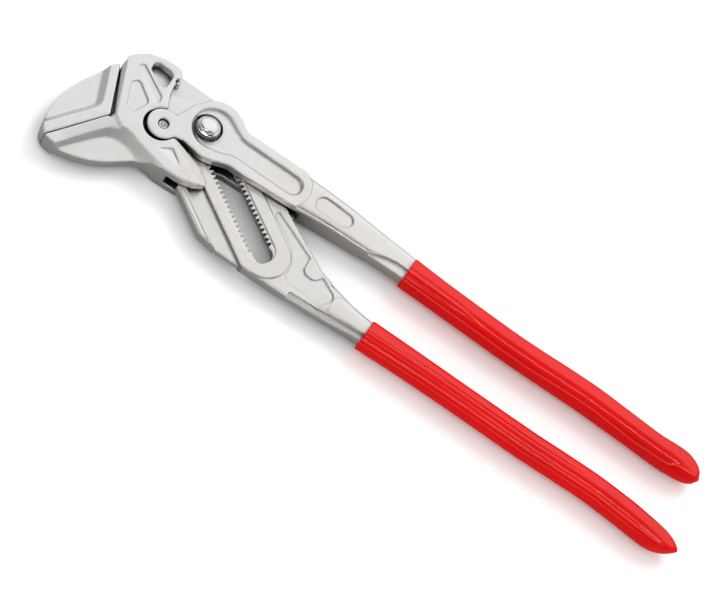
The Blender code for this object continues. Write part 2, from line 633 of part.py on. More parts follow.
def spring_wire():
    """The wire's path, a bevelled curve."""
    z_low = WASHER_HIGH + SPRING_PLAY + WIRE_R
    z_high = BUTTON_LOW - SPRING_PLAY - WIRE_R
    wire = bpy.data.curves.new("return_spring", "CURVE")
    wire.dimensions = "3D"
    path = wire.splines.new("POLY")
    steps = int(TURNS * STEPS_PER_TURN)
    path.points.add(steps)
    for i, point in enumerate(path.points):
        angle = 2 * math.pi * TURNS * i / steps
        z = z_low + (z_high - z_low) * i / steps
        radius = COIL_LOW + (COIL_HIGH - COIL_LOW) * i / steps
        point.co = (radius * math.cos(angle) * MM, radius * math.sin(angle) * MM, z * MM, 1.0)
    wire.bevel_depth = WIRE_R * MM
    wire.bevel_resolution = 2
    wire.use_fill_caps = True
    return wire


def return_spring():
    """Wire wound as a cone, so that its coils close flat inside one another."""
    wire_object = bpy.data.objects.new("return_spring_wire", spring_wire())
    PARTS.objects.link(wire_object)
    bpy.context.view_layer.update()
    graph = bpy.context.evaluated_depsgraph_get()
    mesh = bpy.data.meshes.new_from_object(wire_object.evaluated_get(graph))
    bpy.data.objects.remove(wire_object, do_unlink=True)
    mesh.name = "return_spring"
    # weld the end caps to the wire
    bm = bmesh.new()
    bm.from_mesh(mesh)
    bmesh.ops.remove_doubles(bm, verts=bm.verts, dist=MERGE_DISTANCE)
    bmesh.ops.recalc_face_normals(bm, faces=bm.faces)
    bm.to_mesh(mesh)
    bm.free()
    mesh.materials.append(material("spring_wire", color=(0.4, 0.4, 0.4), roughness=0.3))
    mesh.shade_smooth()
    spring = bpy.data.objects.new("return_spring", mesh)
    spring.location = (0, 0, MID * MM)
    PARTS.objects.link(spring)


# ================================================================ joint frames
# body: (its pieces, the body that carries it)
BODIES = {
    "bolt_seat": (["spring_seat_washer", "return_spring"], None),
    "hinge_bolt_body": (["hinge_bolt", "push_button", "retaining_ring"], "bolt_seat"),
    "actuating_handle": (["actuating_lever", "actuating_lever_grip", "nose_pin_front",
                          "nose_pin_back"], "bolt_seat"),
    "sliding_jaw_body": (["sliding_jaw", "stop_pin"], "bolt_seat"),
}


def joint_frames():
    """Marks each moving body with an empty and parents its pieces to it."""
    empties = {}
    for body, (_, carrier) in BODIES.items():
        empty = bpy.data.objects.new(body + "_axis", None)
        empty.empty_display_size = 0.01
        PARTS.objects.link(empty)
        if carrier:
            empty.parent = empties[carrier]
        else:
            empty.location = (0.0, 0.0, MID * MM)
        empties[body] = empty
    # the empties' world matrices must be up to date before they are inverted
    bpy.context.view_layer.update()
    for body, (pieces, _) in BODIES.items():
        for piece in pieces:
            ob = bpy.data.objects[piece]
            ob.parent = empties[body]
            ob.matrix_parent_inverse = empties[body].matrix_world.inverted()


slotted_lever()
sliding_jaw()
stop_pin()
actuating_lever()
nose_pins()
grips()
hinge_bolt()
push_button()
retaining_ring()
spring_seat_washer()
return_spring()
joint_frames()
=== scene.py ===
"""Looks for the parallel-jaw pliers wrench.

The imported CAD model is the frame. Each forging, grip and visible fitting is rebuilt here
as a fine surface in the same place, rides on its CAD body and stands for its CAD node.
Lengths are millimetres measured from the hinge-bolt axis. The handles run towards +x, the
near side is -y, and z is above the middle plane, with the front face up. Parts that follow
the slot are placed along it and across it with tilt().
"""
import math

import bmesh
import bpy
import numpy as np
from mathutils import Matrix, Vector


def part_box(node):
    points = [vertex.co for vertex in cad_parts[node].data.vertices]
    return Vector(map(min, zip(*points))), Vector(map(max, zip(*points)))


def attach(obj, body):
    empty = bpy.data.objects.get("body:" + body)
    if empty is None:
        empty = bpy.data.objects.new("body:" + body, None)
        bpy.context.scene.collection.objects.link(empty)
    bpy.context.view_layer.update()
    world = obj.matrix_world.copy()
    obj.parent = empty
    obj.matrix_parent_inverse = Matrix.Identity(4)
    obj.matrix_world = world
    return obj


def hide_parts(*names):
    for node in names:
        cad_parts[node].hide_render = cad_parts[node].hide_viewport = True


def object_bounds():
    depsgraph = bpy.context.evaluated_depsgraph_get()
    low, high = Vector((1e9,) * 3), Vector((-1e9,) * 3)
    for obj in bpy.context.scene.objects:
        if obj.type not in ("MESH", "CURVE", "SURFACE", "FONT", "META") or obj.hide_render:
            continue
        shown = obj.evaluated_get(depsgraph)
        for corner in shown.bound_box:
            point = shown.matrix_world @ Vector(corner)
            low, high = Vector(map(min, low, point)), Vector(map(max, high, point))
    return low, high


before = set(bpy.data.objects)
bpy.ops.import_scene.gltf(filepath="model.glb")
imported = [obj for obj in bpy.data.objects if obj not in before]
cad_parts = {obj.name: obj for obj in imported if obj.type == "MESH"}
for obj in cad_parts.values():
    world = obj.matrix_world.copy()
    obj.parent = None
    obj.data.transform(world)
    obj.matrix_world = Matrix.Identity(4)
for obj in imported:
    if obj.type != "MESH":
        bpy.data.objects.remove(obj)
cad_lo, cad_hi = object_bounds()

MM = 0.001
SIDES = (("front", 1), ("back", -1))
VOXEL = 0.34

jaw_lo, jaw_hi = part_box("sliding_jaw")
MID = (jaw_lo.z + jaw_hi.z) / 2 / MM      # height of the middle plane

# half thicknesses and heights above the middle plane
HEAD = (jaw_hi.z - jaw_lo.z) / 2 / MM     # over the cheeks
PLATE, RIM = 3.6, 6.8                     # slotted plate, jaw rims
FORK = 3.9                                # inner faces of the fork and cheeks
FLOOR = 3.4                               # floor of the jaw recesses
GROOVE_FLOOR, TOOTH_FLOOR = 1.8, 0.6

# the slot and its teeth, along and across the slot
SLOT_DEG = -32.5
SLOT_COS, SLOT_SIN = math.cos(math.radians(SLOT_DEG)), math.sin(math.radians(SLOT_DEG))
SLOT_START, SLOT_END = -12.0, 81.3
PITCH, FIRST_ROOT = 3.0, -9.0
ROOT_FLAT, CREST_FLAT = 0.4, 0.25         # half lengths of the flats
CREST, ROOT, CHANNEL = 5.1, 7.4, 7.2      # half widths of the slot
JAW_FACE, JAW_TIP, EDGE, GAP = -23.7, -88.2, -29.0, 0.3
GROOVE_NEAR, GROOVE_FAR = -24.0, -14.8

# the lever's round nose and the hinge
NOSE, NOSE_R, SOCKET_R, SOCKET_TRAVEL = (-20.5, -14.5), 9.2, 9.55, 1.95
BORE_R, SHANK_R, JOURNAL_R = 8.4, 4.9, 5.9


def tilt(along, across, radius=0.0):
    """An outline corner from its place along and across the slot."""
    return (along * SLOT_COS - across * SLOT_SIN, along * SLOT_SIN + across * SLOT_COS, radius)


def slot_place(x, y):
    """The place along and across the slot of a point."""
    return x * SLOT_COS + y * SLOT_SIN, -x * SLOT_SIN + y * SLOT_COS


# ---------------------------------------------------------------- outlines
def ring(outline, inset=0.0):
    """Rounded counter-clockwise outline of (x, y, radius) corners, moved inwards by inset."""
    corners = [(*corner, 0.0)[:3] for corner in outline]
    out = []
    for i, (x, y, radius) in enumerate(corners):
        last, following = corners[i - 1], corners[(i + 1) % len(corners)]
        in_x, in_y = x - last[0], y - last[1]
        out_x, out_y = following[0] - x, following[1] - y
        in_length, out_length = math.hypot(in_x, in_y), math.hypot(out_x, out_y)
        in_x, in_y = in_x / in_length, in_y / in_length
        out_x, out_y = out_x / out_length, out_y / out_length
        turn = math.atan2(in_x * out_y - in_y * out_x, in_x * out_x + in_y * out_y)
        spread = 1.0 + in_y * out_y + in_x * out_x
        x -= inset * (in_y + out_y) / spread
        y += inset * (in_x + out_x) / spread
        if radius <= 0.0 or abs(turn) < 0.02:
            out.append((x, y))
            continue
        half_tan = math.tan(abs(turn) / 2)
        radius = min(radius, 0.48 * min(in_length, out_length) / half_tan)
        steps = max(1, math.ceil(abs(math.degrees(turn)) / 6.0))
        radius = max(radius - inset, 0.05) if turn > 0 else radius + inset
        back = radius * half_tan
        start_x, start_y = x - in_x * back, y - in_y * back
        side = 1.0 if turn > 0 else -1.0
        center_x, center_y = start_x - side * in_y * radius, start_y + side * in_x * radius
        start = math.atan2(start_y - center_y, start_x - center_x)
        for j in range(steps + 1):
            angle = start + turn * j / steps
            out.append((center_x + radius * math.cos(angle), center_y + radius * math.sin(angle)))
    return out


def arc(x, y, radius, start, end, step=6.0):
    """Corners along an arc; angles in degrees."""
    count = max(2, math.ceil(abs(end - start) / step))
    angles = [math.radians(start + (end - start) * i / count) for i in range(count + 1)]
    return [(x + radius * math.cos(a), y + radius * math.sin(a), 0.0) for a in angles]


def stadium(x0, y0, x1, y1, radius):
    a = math.degrees(math.atan2(y1 - y0, x1 - x0))
    return arc(x1, y1, radius, a - 90, a + 90) + arc(x0, y0, radius, a + 90, a + 270)


def signed_power(value, exponent):
    return math.copysign(abs(value) ** exponent, value)


# ---------------------------------------------------------------- solids
def add_object(name, bm):
    bmesh.ops.recalc_face_normals(bm, faces=bm.faces)
    mesh = bpy.data.meshes.new(name)
    bm.to_mesh(mesh)
    bm.free()
    return link_object(name, mesh)


def link_object(name, mesh):
    ob = bpy.data.objects.new(name, mesh)
    bpy.context.scene.collection.objects.link(ob)
    return ob


def stack_rings(name, rings):
    """Joins rings of equal count into a closed solid."""
    bm = bmesh.new()
    rows = [[bm.verts.new((x * MM, y * MM, (z + MID) * MM)) for x, y, z in r] for r in rings]
    count = len(rows[0])
    for low, high in zip(rows, rows[1:]):
        for i in range(count):
            j = (i + 1) % count
            bm.faces.new((low[i], low[j], high[j], high[i]))
    bm.faces.new(rows[0][::-1])
    bm.faces.new(rows[-1])
    return add_object(name, bm)


def slab(name, outline, levels):
    """An upright solid through (height, inset) levels."""
    rings = [[(x, y, z) for x, y in ring(outline, inset)] for z, inset in levels]
    return stack_rings(name, rings)


def eased_slab(name, outline, half, ease=0.5):
    """A slab about the middle plane with narrow sloping edges."""
    levels = [(-half, ease), (-half + ease, 0.0), (half - ease, 0.0), (half, ease)]
    return slab(name, outline, levels)


def slab_pair(name, outline, *levels):
    """A front slab and its mirror image on the back."""
    return [slab(name + "_front", outline, levels),
            slab(name + "_back", outline, [(-z, inset) for z, inset in reversed(levels)])]


def prism(name, outline, low, high):
    """An upright prism whose lower and upper faces are heights given as functions of x, y."""
    points = ring(outline)
    return stack_rings(name, [[(x, y, face(x, y)) for x, y in points] for face in (low, high)])


def prism_pair(name, outline, low, high):
    """A front prism and its mirror image on the back."""
    return [prism(name + "_front", outline, low, high),
            prism(name + "_back", outline, lambda x, y: -high(x, y), lambda x, y: -low(x, y))]


def section(x, center, half_width, half_height, power, count):
    """A superellipse across the handle."""
    row = []
    for i in range(count):
        angle = 2 * math.pi * i / count
        row.append((x, center + half_width * signed_power(math.cos(angle), 2.0 / power),
                    half_height * signed_power(math.sin(angle), 2.0 / power)))
    return row


def smooth_stations(stations, spacing):
    """Stations resampled every spacing along x with a monotone cubic through each column."""
    table = np.array(stations, float)
    x = table[:, 0]
    new_x = np.unique(np.concatenate([x, np.arange(x[0], x[-1], spacing)]))
    gaps = np.diff(x)
    i = np.clip(np.searchsorted(x, new_x, side="right") - 1, 0, len(x) - 2)
    t = (new_x - x[i]) / gaps[i]
    columns = [new_x]
    for y in table.T[1:]:
        rise = np.diff(y) / gaps
        slope = np.zeros(len(x))
        for j in range(1, len(x) - 1):
            if rise[j - 1] * rise[j] > 0:
                w1, w2 = 2 * gaps[j] + gaps[j - 1], gaps[j] + 2 * gaps[j - 1]
                slope[j] = (w1 + w2) / (w1 / rise[j - 1] + w2 / rise[j])
        slope[0], slope[-1] = rise[0], rise[-1]
        columns.append((2 * t**3 - 3 * t**2 + 1) * y[i]
                       + (t**3 - 2 * t**2 + t) * gaps[i] * slope[i]
                       + (-2 * t**3 + 3 * t**2) * y[i + 1]
                       + (t**3 - t**2) * gaps[i] * slope[i + 1])
    return np.stack(columns, 1)


def bar(name, stations, power, count=96):
    """A loft through (x, centre y, half width, half height) stations."""
    rows = [section(*station, power, count) for station in smooth_stations(stations, 3.0)]
    return stack_rings(name, rows)


def cylinder(name, x, y, radius, low, high):
    bm = bmesh.new()
    bmesh.ops.create_cone(bm, cap_ends=True, segments=96, radius1=radius * MM,
                          radius2=radius * MM, depth=(high - low) * MM)
    center = (x * MM, y * MM, ((low + high) / 2 + MID) * MM)
    bmesh.ops.translate(bm, vec=center, verts=bm.verts)
    return add_object(name, bm)


def slope_cutters(name, start, end, width, depth):
    """Cutters that take a sloping strip off the edge start to end, on the front and the back.
    The material lies to the left of the edge; width is measured inwards, depth downwards."""
    dx, dy = end[0] - start[0], end[1] - start[1]
    length = math.hypot(dx, dy)
    dx, dy = dx / length, dy / length
    slope = width / depth
    profile = [(-6.0, HEAD - depth - 6.0 / slope), (-6.0, HEAD + 3.0),
               (width + 3.0 * slope, HEAD + 3.0)]
    ends = ((start[0] - dx, start[1] - dy), (end[0] + dx, end[1] + dy))
    out = []
    for side, sign in SIDES:
        rows = [[(x - dy * inward, y + dx * inward, sign * z) for inward, z in profile]
                for x, y in ends]
        out.append(stack_rings(name + "_" + side, rows))
    return out


# ---------------------------------------------------------------- modifiers
def add_modifier(ob, kind, **settings):
    modifier = ob.modifiers.new(kind.lower(), kind)
    for setting, value in settings.items():
        setattr(modifier, setting, value)


def evaluated_mesh(ob):
    bpy.context.view_layer.update()
    graph = bpy.context.evaluated_depsgraph_get()
    return bpy.data.meshes.new_from_object(ob.evaluated_get(graph))


def bake(ob):
    """Puts the modified mesh in place of the object's mesh and its modifiers."""
    mesh = evaluated_mesh(ob)
    ob.modifiers.clear()
    ob.vertex_groups.clear()
    ob.data = mesh


# ---------------------------------------------------------------- relief on the forged faces
def nearest(points, line, closed):
    """Distance from points to the line or outline, the unit vector from it to each point,
    and which points are inside."""
    best = np.full(len(points), 1e9)
    away = np.zeros((len(points), 2))
    inside = np.zeros(len(points), bool)
    ends = np.roll(line, -1, 0) if closed else line[1:]
    for start, end in zip(line, ends):
        edge = end - start
        if edge @ edge < 1e-12:
            continue
        offset = points - start
        t = np.clip((offset @ edge) / (edge @ edge), 0, 1)
        offset = offset - t[:, None] * edge
        square = (offset ** 2).sum(1)
        closer = square < best
        best[closer] = square[closer]
        away[closer] = offset[closer]
        if closed:
            cross = (start[1] > points[:, 1]) != (end[1] > points[:, 1])
            with np.errstate(divide="ignore", invalid="ignore"):
                x = edge[0] * (points[:, 1] - start[1]) / edge[1] + start[0]
            inside ^= cross & (points[:, 0] < x)
    distance = np.sqrt(best)
    return distance, away / np.maximum(distance, 1e-6)[:, None], inside


def step_up(t):
    t = np.clip(t, 0, 1)
    return t * t * (3 - 2 * t)


def relief(places, normals, features):
    """Sinks (or raises, with a negative depth) areas of the upright faces.

    A feature is a dict: area (outline) or line (points), depth, ramp (width of its sloping
    edge), z (range of heights it applies to), ink (strength of the shade painted along
    its edge), fade ((x, y), (dx, dy), length): the depth grows from nothing at the point,
    along the direction, over the length; invert for outside; wall: no depth, and the
    painted shade covers the wall as well.
    Returns the moved points and how strongly painted shade darkens each along an edge.
    """
    side = np.sign(places[:, 2])
    upright = step_up((normals[:, 2] * side - 0.5) / 0.35)
    height = np.abs(places[:, 2])
    drop = np.zeros(len(places))
    dark = np.zeros(len(places))
    wall_dark = np.zeros(len(places))
    for f in features:
        closed = "area" in f
        line = np.array(ring(f["area"]) if closed else [p[:2] for p in f["line"]], float)
        ramp = f["ramp"]
        low, high = f["z"]
        near = (height > low - max(f["depth"], 0.0)) & (height < high)
        near &= (upright > 0) | f.get("wall", False)
        if not f.get("invert"):
            margin = 3.0 + ramp / 2
            for axis in (0, 1):
                near &= places[:, axis] > line[:, axis].min() - margin
                near &= places[:, axis] < line[:, axis].max() + margin
        index = np.nonzero(near)[0]
        if not len(index):
            continue
        points = places[index, :2]
        distance, away, inside = nearest(points, line, closed)
        if closed:
            outward = away * np.where(inside, -1.0, 1.0)[:, None]
            distance = np.where(inside, -distance, distance)
            weight = step_up(0.5 - distance / ramp)
            ink = np.exp(-((distance / (0.2 + 0.3 * ramp)) ** 2))
            # painted shade: an edge is darkest where it faces the given direction
            if f.get("invert"):
                weight = 1 - weight
                ink = ink * (0.45 + 0.4 * np.clip(outward @ (0.5, -0.86), 0, 1))
            else:
                ink = ink * (0.22 + 0.78 * np.clip(outward @ (0.6, 0.8), 0, 1))
        else:
            weight = np.exp(-((distance / ramp) ** 2))
            ink = 0.8 * weight
        if "fade" in f:
            (fx, fy), (dx, dy), length = f["fade"]
            share = ((points[:, 0] - fx) * dx + (points[:, 1] - fy) * dy) / length
            share = np.clip(share, 0, 1)
            weight, ink = weight * share, ink * share
        target = wall_dark if f.get("wall") else dark
        target[index] = np.maximum(target[index], ink * f.get("ink", 1.0))
        if not f.get("wall"):
            drop[index] += f["depth"] * weight * (height[index] > low)
    moved = places.copy()
    moved[:, 2] -= side * drop * upright
    return moved, np.maximum(dark * upright, wall_dark)


def read_vertices(mesh):
    """Places in millimetres above the middle plane, and normals."""
    both = []
    for field in ("co", "normal"):
        values = np.zeros(len(mesh.vertices) * 3, np.float32)
        mesh.vertices.foreach_get(field, values)
        both.append(values.reshape(-1, 3))
    places = both[0].astype(float) / MM
    places[:, 2] -= MID
    return places, both[1].astype(float)


def write_vertices(mesh, places):
    places = places.copy()
    places[:, 2] += MID
    mesh.vertices.foreach_set("co", (places * MM).astype(np.float32).ravel())
    mesh.update()


def add_line_attribute(mesh, values):
    """The strength of the painted shade lines on steel and painted highlight lines on grips that
    the materials draw.
    """
    attribute = mesh.attributes.new("line", "FLOAT", "POINT")
    attribute.data.foreach_set("value", np.asarray(values, np.float32))


def keep_largest_shell(mesh):
    """A remesh can leave a crumb beside a thin wall."""
    bm = bmesh.new()
    bm.from_mesh(mesh)
    bm.verts.index_update()
    seen = bytearray(len(bm.verts))
    shells = []
    for first in bm.verts:
        if seen[first.index]:
            continue
        seen[first.index] = 1
        shell = [first]
        for vert in shell:
            for edge in vert.link_edges:
                other = edge.other_vert(vert)
                if not seen[other.index]:
                    seen[other.index] = 1
                    shell.append(other)
        shells.append(shell)
    shells.sort(key=len)
    crumbs = [vert for shell in shells[:-1] for vert in shell]
    if crumbs:
        bmesh.ops.delete(bm, geom=crumbs, context="VERTS")
        bm.to_mesh(mesh)
    bm.free()


def forge(name, base, unions, cuts, features, crisp=None):
    """Joins and cuts the solids, rounds their edges over as a forging's are, and adds relief.
    crisp(x, y) marks the points that keep machined edges."""
    for operation, others in (("UNION", unions), ("DIFFERENCE", cuts)):
        for other in others:
            add_modifier(base, "BOOLEAN", operation=operation, solver="EXACT", object=other)
    ob = link_object(name + "_work", evaluated_mesh(base))
    for solid in (base, *unions, *cuts):
        bpy.data.objects.remove(solid, do_unlink=True)
    add_modifier(ob, "REMESH", mode="VOXEL", voxel_size=VOXEL * MM, adaptivity=0.0)
    add_modifier(ob, "SMOOTH", factor=0.5, iterations=1)
    bake(ob)
    places, _ = read_vertices(ob.data)
    soft = np.ones(len(places)) if crisp is None else 1.0 - crisp(places[:, 0], places[:, 1])
    group = ob.vertex_groups.new(name="soft")
    for level in range(1, 5):
        chosen = np.nonzero((soft > (level - 1) / 4 + 0.01) & (soft <= level / 4 + 0.01))[0]
        if len(chosen):
            group.add(chosen.tolist(), level / 4, "REPLACE")
    add_modifier(ob, "SMOOTH", factor=0.5, iterations=2, vertex_group="soft")
    bake(ob)
    keep_largest_shell(ob.data)
    moved, dark = relief(*read_vertices(ob.data), features)
    write_vertices(ob.data, moved)
    add_line_attribute(ob.data, dark)
    ob.name = name
    ob.data.name = name
    ob.data.shade_smooth()
    return ob


def turned(name, profile, x=0.0, y=0.0, segments=128, sharp=40.0):
    """A turned piece from a (radius, z) profile that starts and ends on the axis,
    bottom first."""
    points = [(radius * MM, 0.0, (z + MID) * MM) for radius, z in reversed(profile)]
    mesh = bpy.data.meshes.new(name)
    mesh.from_pydata(points, [(i, i + 1) for i in range(len(points) - 1)], [])
    ob = link_object(name + "_profile", mesh)
    add_modifier(ob, "SCREW", axis="Z", angle=2 * math.pi, steps=segments,
                 render_steps=segments, use_merge_vertices=True, merge_threshold=0.00001)
    out = evaluated_mesh(ob)
    bpy.data.objects.remove(ob)
    bm = bmesh.new()
    bm.from_mesh(out)
    bmesh.ops.recalc_face_normals(bm, faces=bm.faces)
    bm.to_mesh(out)
    bm.free()
    out.transform(Matrix.Translation((x * MM, y * MM, 0)))
    ob = link_object(name, out)
    shade(ob, sharp)
    return ob


def shade(ob, sharp):
    ob.data.shade_smooth()
    ob.data.set_sharp_from_angle(angle=math.radians(sharp))


# ---------------------------------------------------------------- materials
class Nodes:
    """Short helpers for building a node tree."""

    def __init__(self, tree):
        self.tree = tree

    def node(self, kind, **values):
        node = self.tree.nodes.new(kind)
        for key, value in values.items():
            if key in node.inputs.keys():
                node.inputs[key].default_value = value
            else:
                setattr(node, key, value)
        return node

    def feed(self, socket, value):
        """Links a socket to the input, or gives it a number or a colour."""
        if isinstance(value, bpy.types.NodeSocket):
            self.tree.links.new(value, socket)
        else:
            socket.default_value = (*value, 1.0) if isinstance(value, tuple) else value

    def math(self, operation, a, b=0.0):
        node = self.node("ShaderNodeMath", operation=operation)
        self.feed(node.inputs[0], a)
        self.feed(node.inputs[1], b)
        return node.outputs[0]

    def multiply(self, value, by):
        return self.math("MULTIPLY", value, by)

    def plus(self, value, other):
        return self.math("ADD", value, other)

    def span(self, value, start, end, low=0.0, high=1.0):
        """Goes smoothly from low to high as the value goes from start to end."""
        node = self.node("ShaderNodeMapRange", interpolation_type="SMOOTHSTEP")
        for i, number in enumerate((start, end, low, high)):
            node.inputs[1 + i].default_value = number
        self.feed(node.inputs[0], value)
        return node.outputs[0]

    def parts(self, vector):
        node = self.node("ShaderNodeSeparateXYZ")
        self.feed(node.inputs[0], vector)
        return node.outputs

    def upright(self):
        """How nearly the surface faces straight up or down."""
        normal = self.node("ShaderNodeNewGeometry").outputs["Normal"]
        return self.math("ABSOLUTE", self.parts(normal)["Z"])

    def noise(self, scale, detail=3.0, rough=0.5, stretch=None):
        node = self.node("ShaderNodeTexNoise", Scale=scale, Detail=detail, Roughness=rough)
        place = self.node("ShaderNodeTexCoord").outputs["Object"]
        if stretch:
            mapping = self.node("ShaderNodeMapping", Scale=stretch)
            self.feed(mapping.inputs["Vector"], place)
            place = mapping.outputs[0]
        self.feed(node.inputs["Vector"], place)
        return node.outputs["Fac"]

    def occlusion(self, reach, samples=6, **settings):
        node = self.node("ShaderNodeAmbientOcclusion", samples=samples, Distance=reach, **settings)
        return node.outputs["AO"]

    def line(self):
        return self.node("ShaderNodeAttribute", attribute_name="line").outputs["Fac"]

    def mix(self, amount, base, toward):
        node = self.node("ShaderNodeMix", data_type="RGBA")
        for socket, value in (("Factor", amount), ("A", base), ("B", toward)):
            self.feed(node.inputs[socket], value)
        return node.outputs["Result"]

    def bump(self, height, distance, strength):
        node = self.node("ShaderNodeBump", Strength=strength, Distance=distance)
        self.feed(node.inputs["Height"], height)
        return node.outputs["Normal"]


class Material(Nodes):
    def __init__(self, name):
        self.material = bpy.data.materials.new(name)
        self.material.use_nodes = True
        super().__init__(self.material.node_tree)
        self.shader = self.tree.nodes["Principled BSDF"]

    def surface(self, inputs):
        """Feeds the shader's named inputs and gives back the finished material."""
        for key, value in inputs.items():
            self.feed(self.shader.inputs[key], value)
        return self.material


def forged_steel(name):
    """Blasted, satin-plated steel: fine grain, faint mottling, sides painted darker as shade,
    painted shade along recess edges and in crevices, brighter worn edges."""
    mat = Material(name)
    # painted shade: upright walls darker than faces that look up or down
    facing_shade_mask = mat.span(mat.upright(), start=0.25, end=0.93)
    mottle = mat.noise(scale=75.0, detail=4.0, rough=0.55)
    warm = mat.noise(scale=22.0, detail=2.0)
    grain = mat.noise(scale=1700.0, detail=2.0, rough=0.6)
    blotch = mat.noise(scale=420.0, rough=0.6)
    color = mat.mix(facing_shade_mask, base=(0.78, 0.765, 0.75), toward=(0.825, 0.812, 0.808))
    color = mat.mix(mat.span(mottle, start=0.35, end=0.75, high=0.16), color,
                    toward=(0.66, 0.645, 0.63))
    color = mat.mix(mat.span(warm, start=0.45, end=0.62, high=0.30), color,
                    toward=(0.76, 0.735, 0.69))
    color = mat.mix(mat.span(grain, start=0.3, end=0.7, low=0.10, high=0.0), color,
                    toward=(0.42, 0.41, 0.40))
    edge = mat.occlusion(reach=0.0009, inside=True, only_local=True)
    worn = mat.span(edge, start=0.52, end=0.86, low=1.0, high=0.0)
    color = mat.mix(mat.multiply(worn, by=0.45), color, toward=(0.93, 0.925, 0.915))
    # painted shade along recess edges, from the line attribute
    color = mat.mix(mat.multiply(mat.line(), by=0.72), color, toward=(0.13, 0.125, 0.12))
    # painted shade, near black: at contact between parts, in hollows in this part, and in deep
    # places between parts
    contact = mat.occlusion(reach=0.0045)
    hollow = mat.occlusion(reach=0.010, samples=8, only_local=True)
    inner = mat.occlusion(reach=0.020)
    open_sky = mat.multiply(mat.span(contact, start=0.10, end=0.74),
                            by=mat.span(hollow, start=0.34, end=0.76))
    open_sky = mat.multiply(mat.span(inner, start=0.14, end=0.40), by=open_sky)
    color = mat.mix(open_sky, base=(0.012, 0.0115, 0.011), toward=color)
    rough = mat.plus(mat.span(blotch, start=0.3, end=0.7, low=0.31, high=0.40),
                     mat.multiply(worn, by=-0.08))
    height = mat.plus(mat.multiply(grain, by=0.7), mat.multiply(blotch, by=0.5))
    return mat.surface({
        "Base Color": color, "Metallic": 1.0, "Roughness": rough,
        "Normal": mat.bump(height, distance=0.00007, strength=0.5),
    })


def machined_steel(name, color, rough):
    """Turned or ground steel, with painted shade where it lies deep in a bore."""
    mat = Material(name)
    fine = mat.noise(scale=900.0, detail=2.0, stretch=(1.0, 1.0, 6.0))
    color = mat.mix(mat.span(fine, start=0.3, end=0.7, high=0.35), color,
                    toward=tuple(c * 0.7 for c in color))
    # painted shade deep in bores
    open_sky = mat.span(mat.occlusion(reach=0.0045, samples=8), start=0.12, end=0.80)
    return mat.surface({
        "Base Color": mat.mix(open_sky, base=(0.010, 0.0095, 0.009), toward=color),
        "Metallic": 1.0,
        "Roughness": mat.span(fine, start=0.3, end=0.7, low=rough - 0.05, high=rough + 0.08),
        "Normal": mat.bump(fine, distance=0.00002, strength=0.15),
    })


def chrome(name):
    mat = Material(name)
    haze = mat.noise(scale=260.0, rough=0.6)
    return mat.surface({
        "Base Color": mat.mix(mat.span(haze, start=0.3, end=0.8, high=0.25),
                              base=(0.74, 0.735, 0.73), toward=(0.66, 0.655, 0.65)),
        "Metallic": 1.0,
        "Roughness": mat.span(haze, start=0.3, end=0.8, low=0.07, high=0.13),
        "Normal": mat.bump(haze, distance=0.00001, strength=0.08),
    })


def red_dip(name):
    """Thick glossy plastisol: deep red, a slightly uneven skin and faint runs along the handle;
    thinner where it stretches over the tang's edges, with a painted highlight along those creases."""
    mat = Material(name)
    top = mat.span(mat.upright(), start=0.62, end=0.93)
    cloud = mat.noise(scale=28.0)
    skin = mat.noise(scale=330.0, detail=2.0)
    runs = mat.noise(scale=240.0, detail=2.0, stretch=(0.06, 1.0, 1.0))
    color = mat.mix(mat.span(cloud, start=0.3, end=0.7),
                    base=(0.60, 0.0012, 0.0015), toward=(0.55, 0.0010, 0.0012))
    # painted highlight along the creases, from the line attribute
    color = mat.mix(mat.multiply(mat.line(), by=0.55), color, toward=(0.80, 0.12, 0.10))
    shine = mat.span(top, start=0.0, end=1.0, low=0.10, high=0.50)
    rough = mat.span(skin, start=0.3, end=0.7, low=0.15, high=0.20)
    height = mat.plus(mat.multiply(skin, by=0.2), mat.multiply(runs, by=0.15))
    return mat.surface({
        "Base Color": color, "Specular IOR Level": shine, "Roughness": rough,
        "Normal": mat.bump(height, distance=0.00018, strength=0.14),
        "Coat Weight": 0.02, "Coat Roughness": 0.08,
    })


SLOTTED_STEEL = forged_steel("satin_forging_slotted")
LEVER_STEEL = forged_steel("satin_forging_lever")
JAW_STEEL = forged_steel("satin_forging_jaw")
CHROME = chrome("button_chrome")
BOLT = machined_steel("bolt_machined", color=(0.55, 0.545, 0.535), rough=0.32)
PIN = machined_steel("pin_ground", color=(0.62, 0.61, 0.60), rough=0.26)
SPRING = machined_steel("spring_drawn", color=(0.50, 0.49, 0.48), rough=0.25)
RED = red_dip("red_dip")


def dress(ob, material, body, node):
    ob.data.materials.clear()
    ob.data.materials.append(material)
    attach(ob, body)
    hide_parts(node)


# ================================================================ slotted lever
# outline corners are x, y and corner radius
FIXED_JAW = [
    tilt(JAW_FACE - GAP / 2, JAW_TIP, 0.8), tilt(JAW_FACE - GAP / 2, -48.4, 0.6),
    (-58.0, -0.5, 0.8), (-59.3, 1.6, 1.0), (-62.2, -1.6, 6), (-64.4, -6.5, 8),
    (-67.3, -13.5, 20), (-70.3, -20.5, 20), (-72.5, -27.5, 20), (-73.9, -35.0, 20),
    (-74.2, -42.0, 20), (-73.5, -48.5, 20), (-72.0, -54.6, 8), (-70.4, -58.6, 2.5),
]
SLOTTED_PLATE = [
    tilt(JAW_FACE - GAP / 2, -47.0), tilt(JAW_FACE - GAP / 2, EDGE + 3.6, 1.2),
    tilt(23.4, EDGE + 3.6, 1.0), tilt(24.8, EDGE, 0.8), tilt(54.5, EDGE, 7),
    (44.0, -55.5, 5), (60.0, -54.9, 0), (75.0, -54.1, 0), (90.0, -53.2, 0), (104.0, -52.2, 0),
    (104.0, -29.9, 0), (96.3, -27.9, 12), (5.5, 20.2, 8), (-28.0, 19.6, 12), (-39.0, 18.6, 10),
    (-49.0, 14.4, 10), (-55.6, 7.4, 3), (-57.8, 2.2, 0), (-59.6, -4.0, 0), (-49.5, -28.0, 0),
]
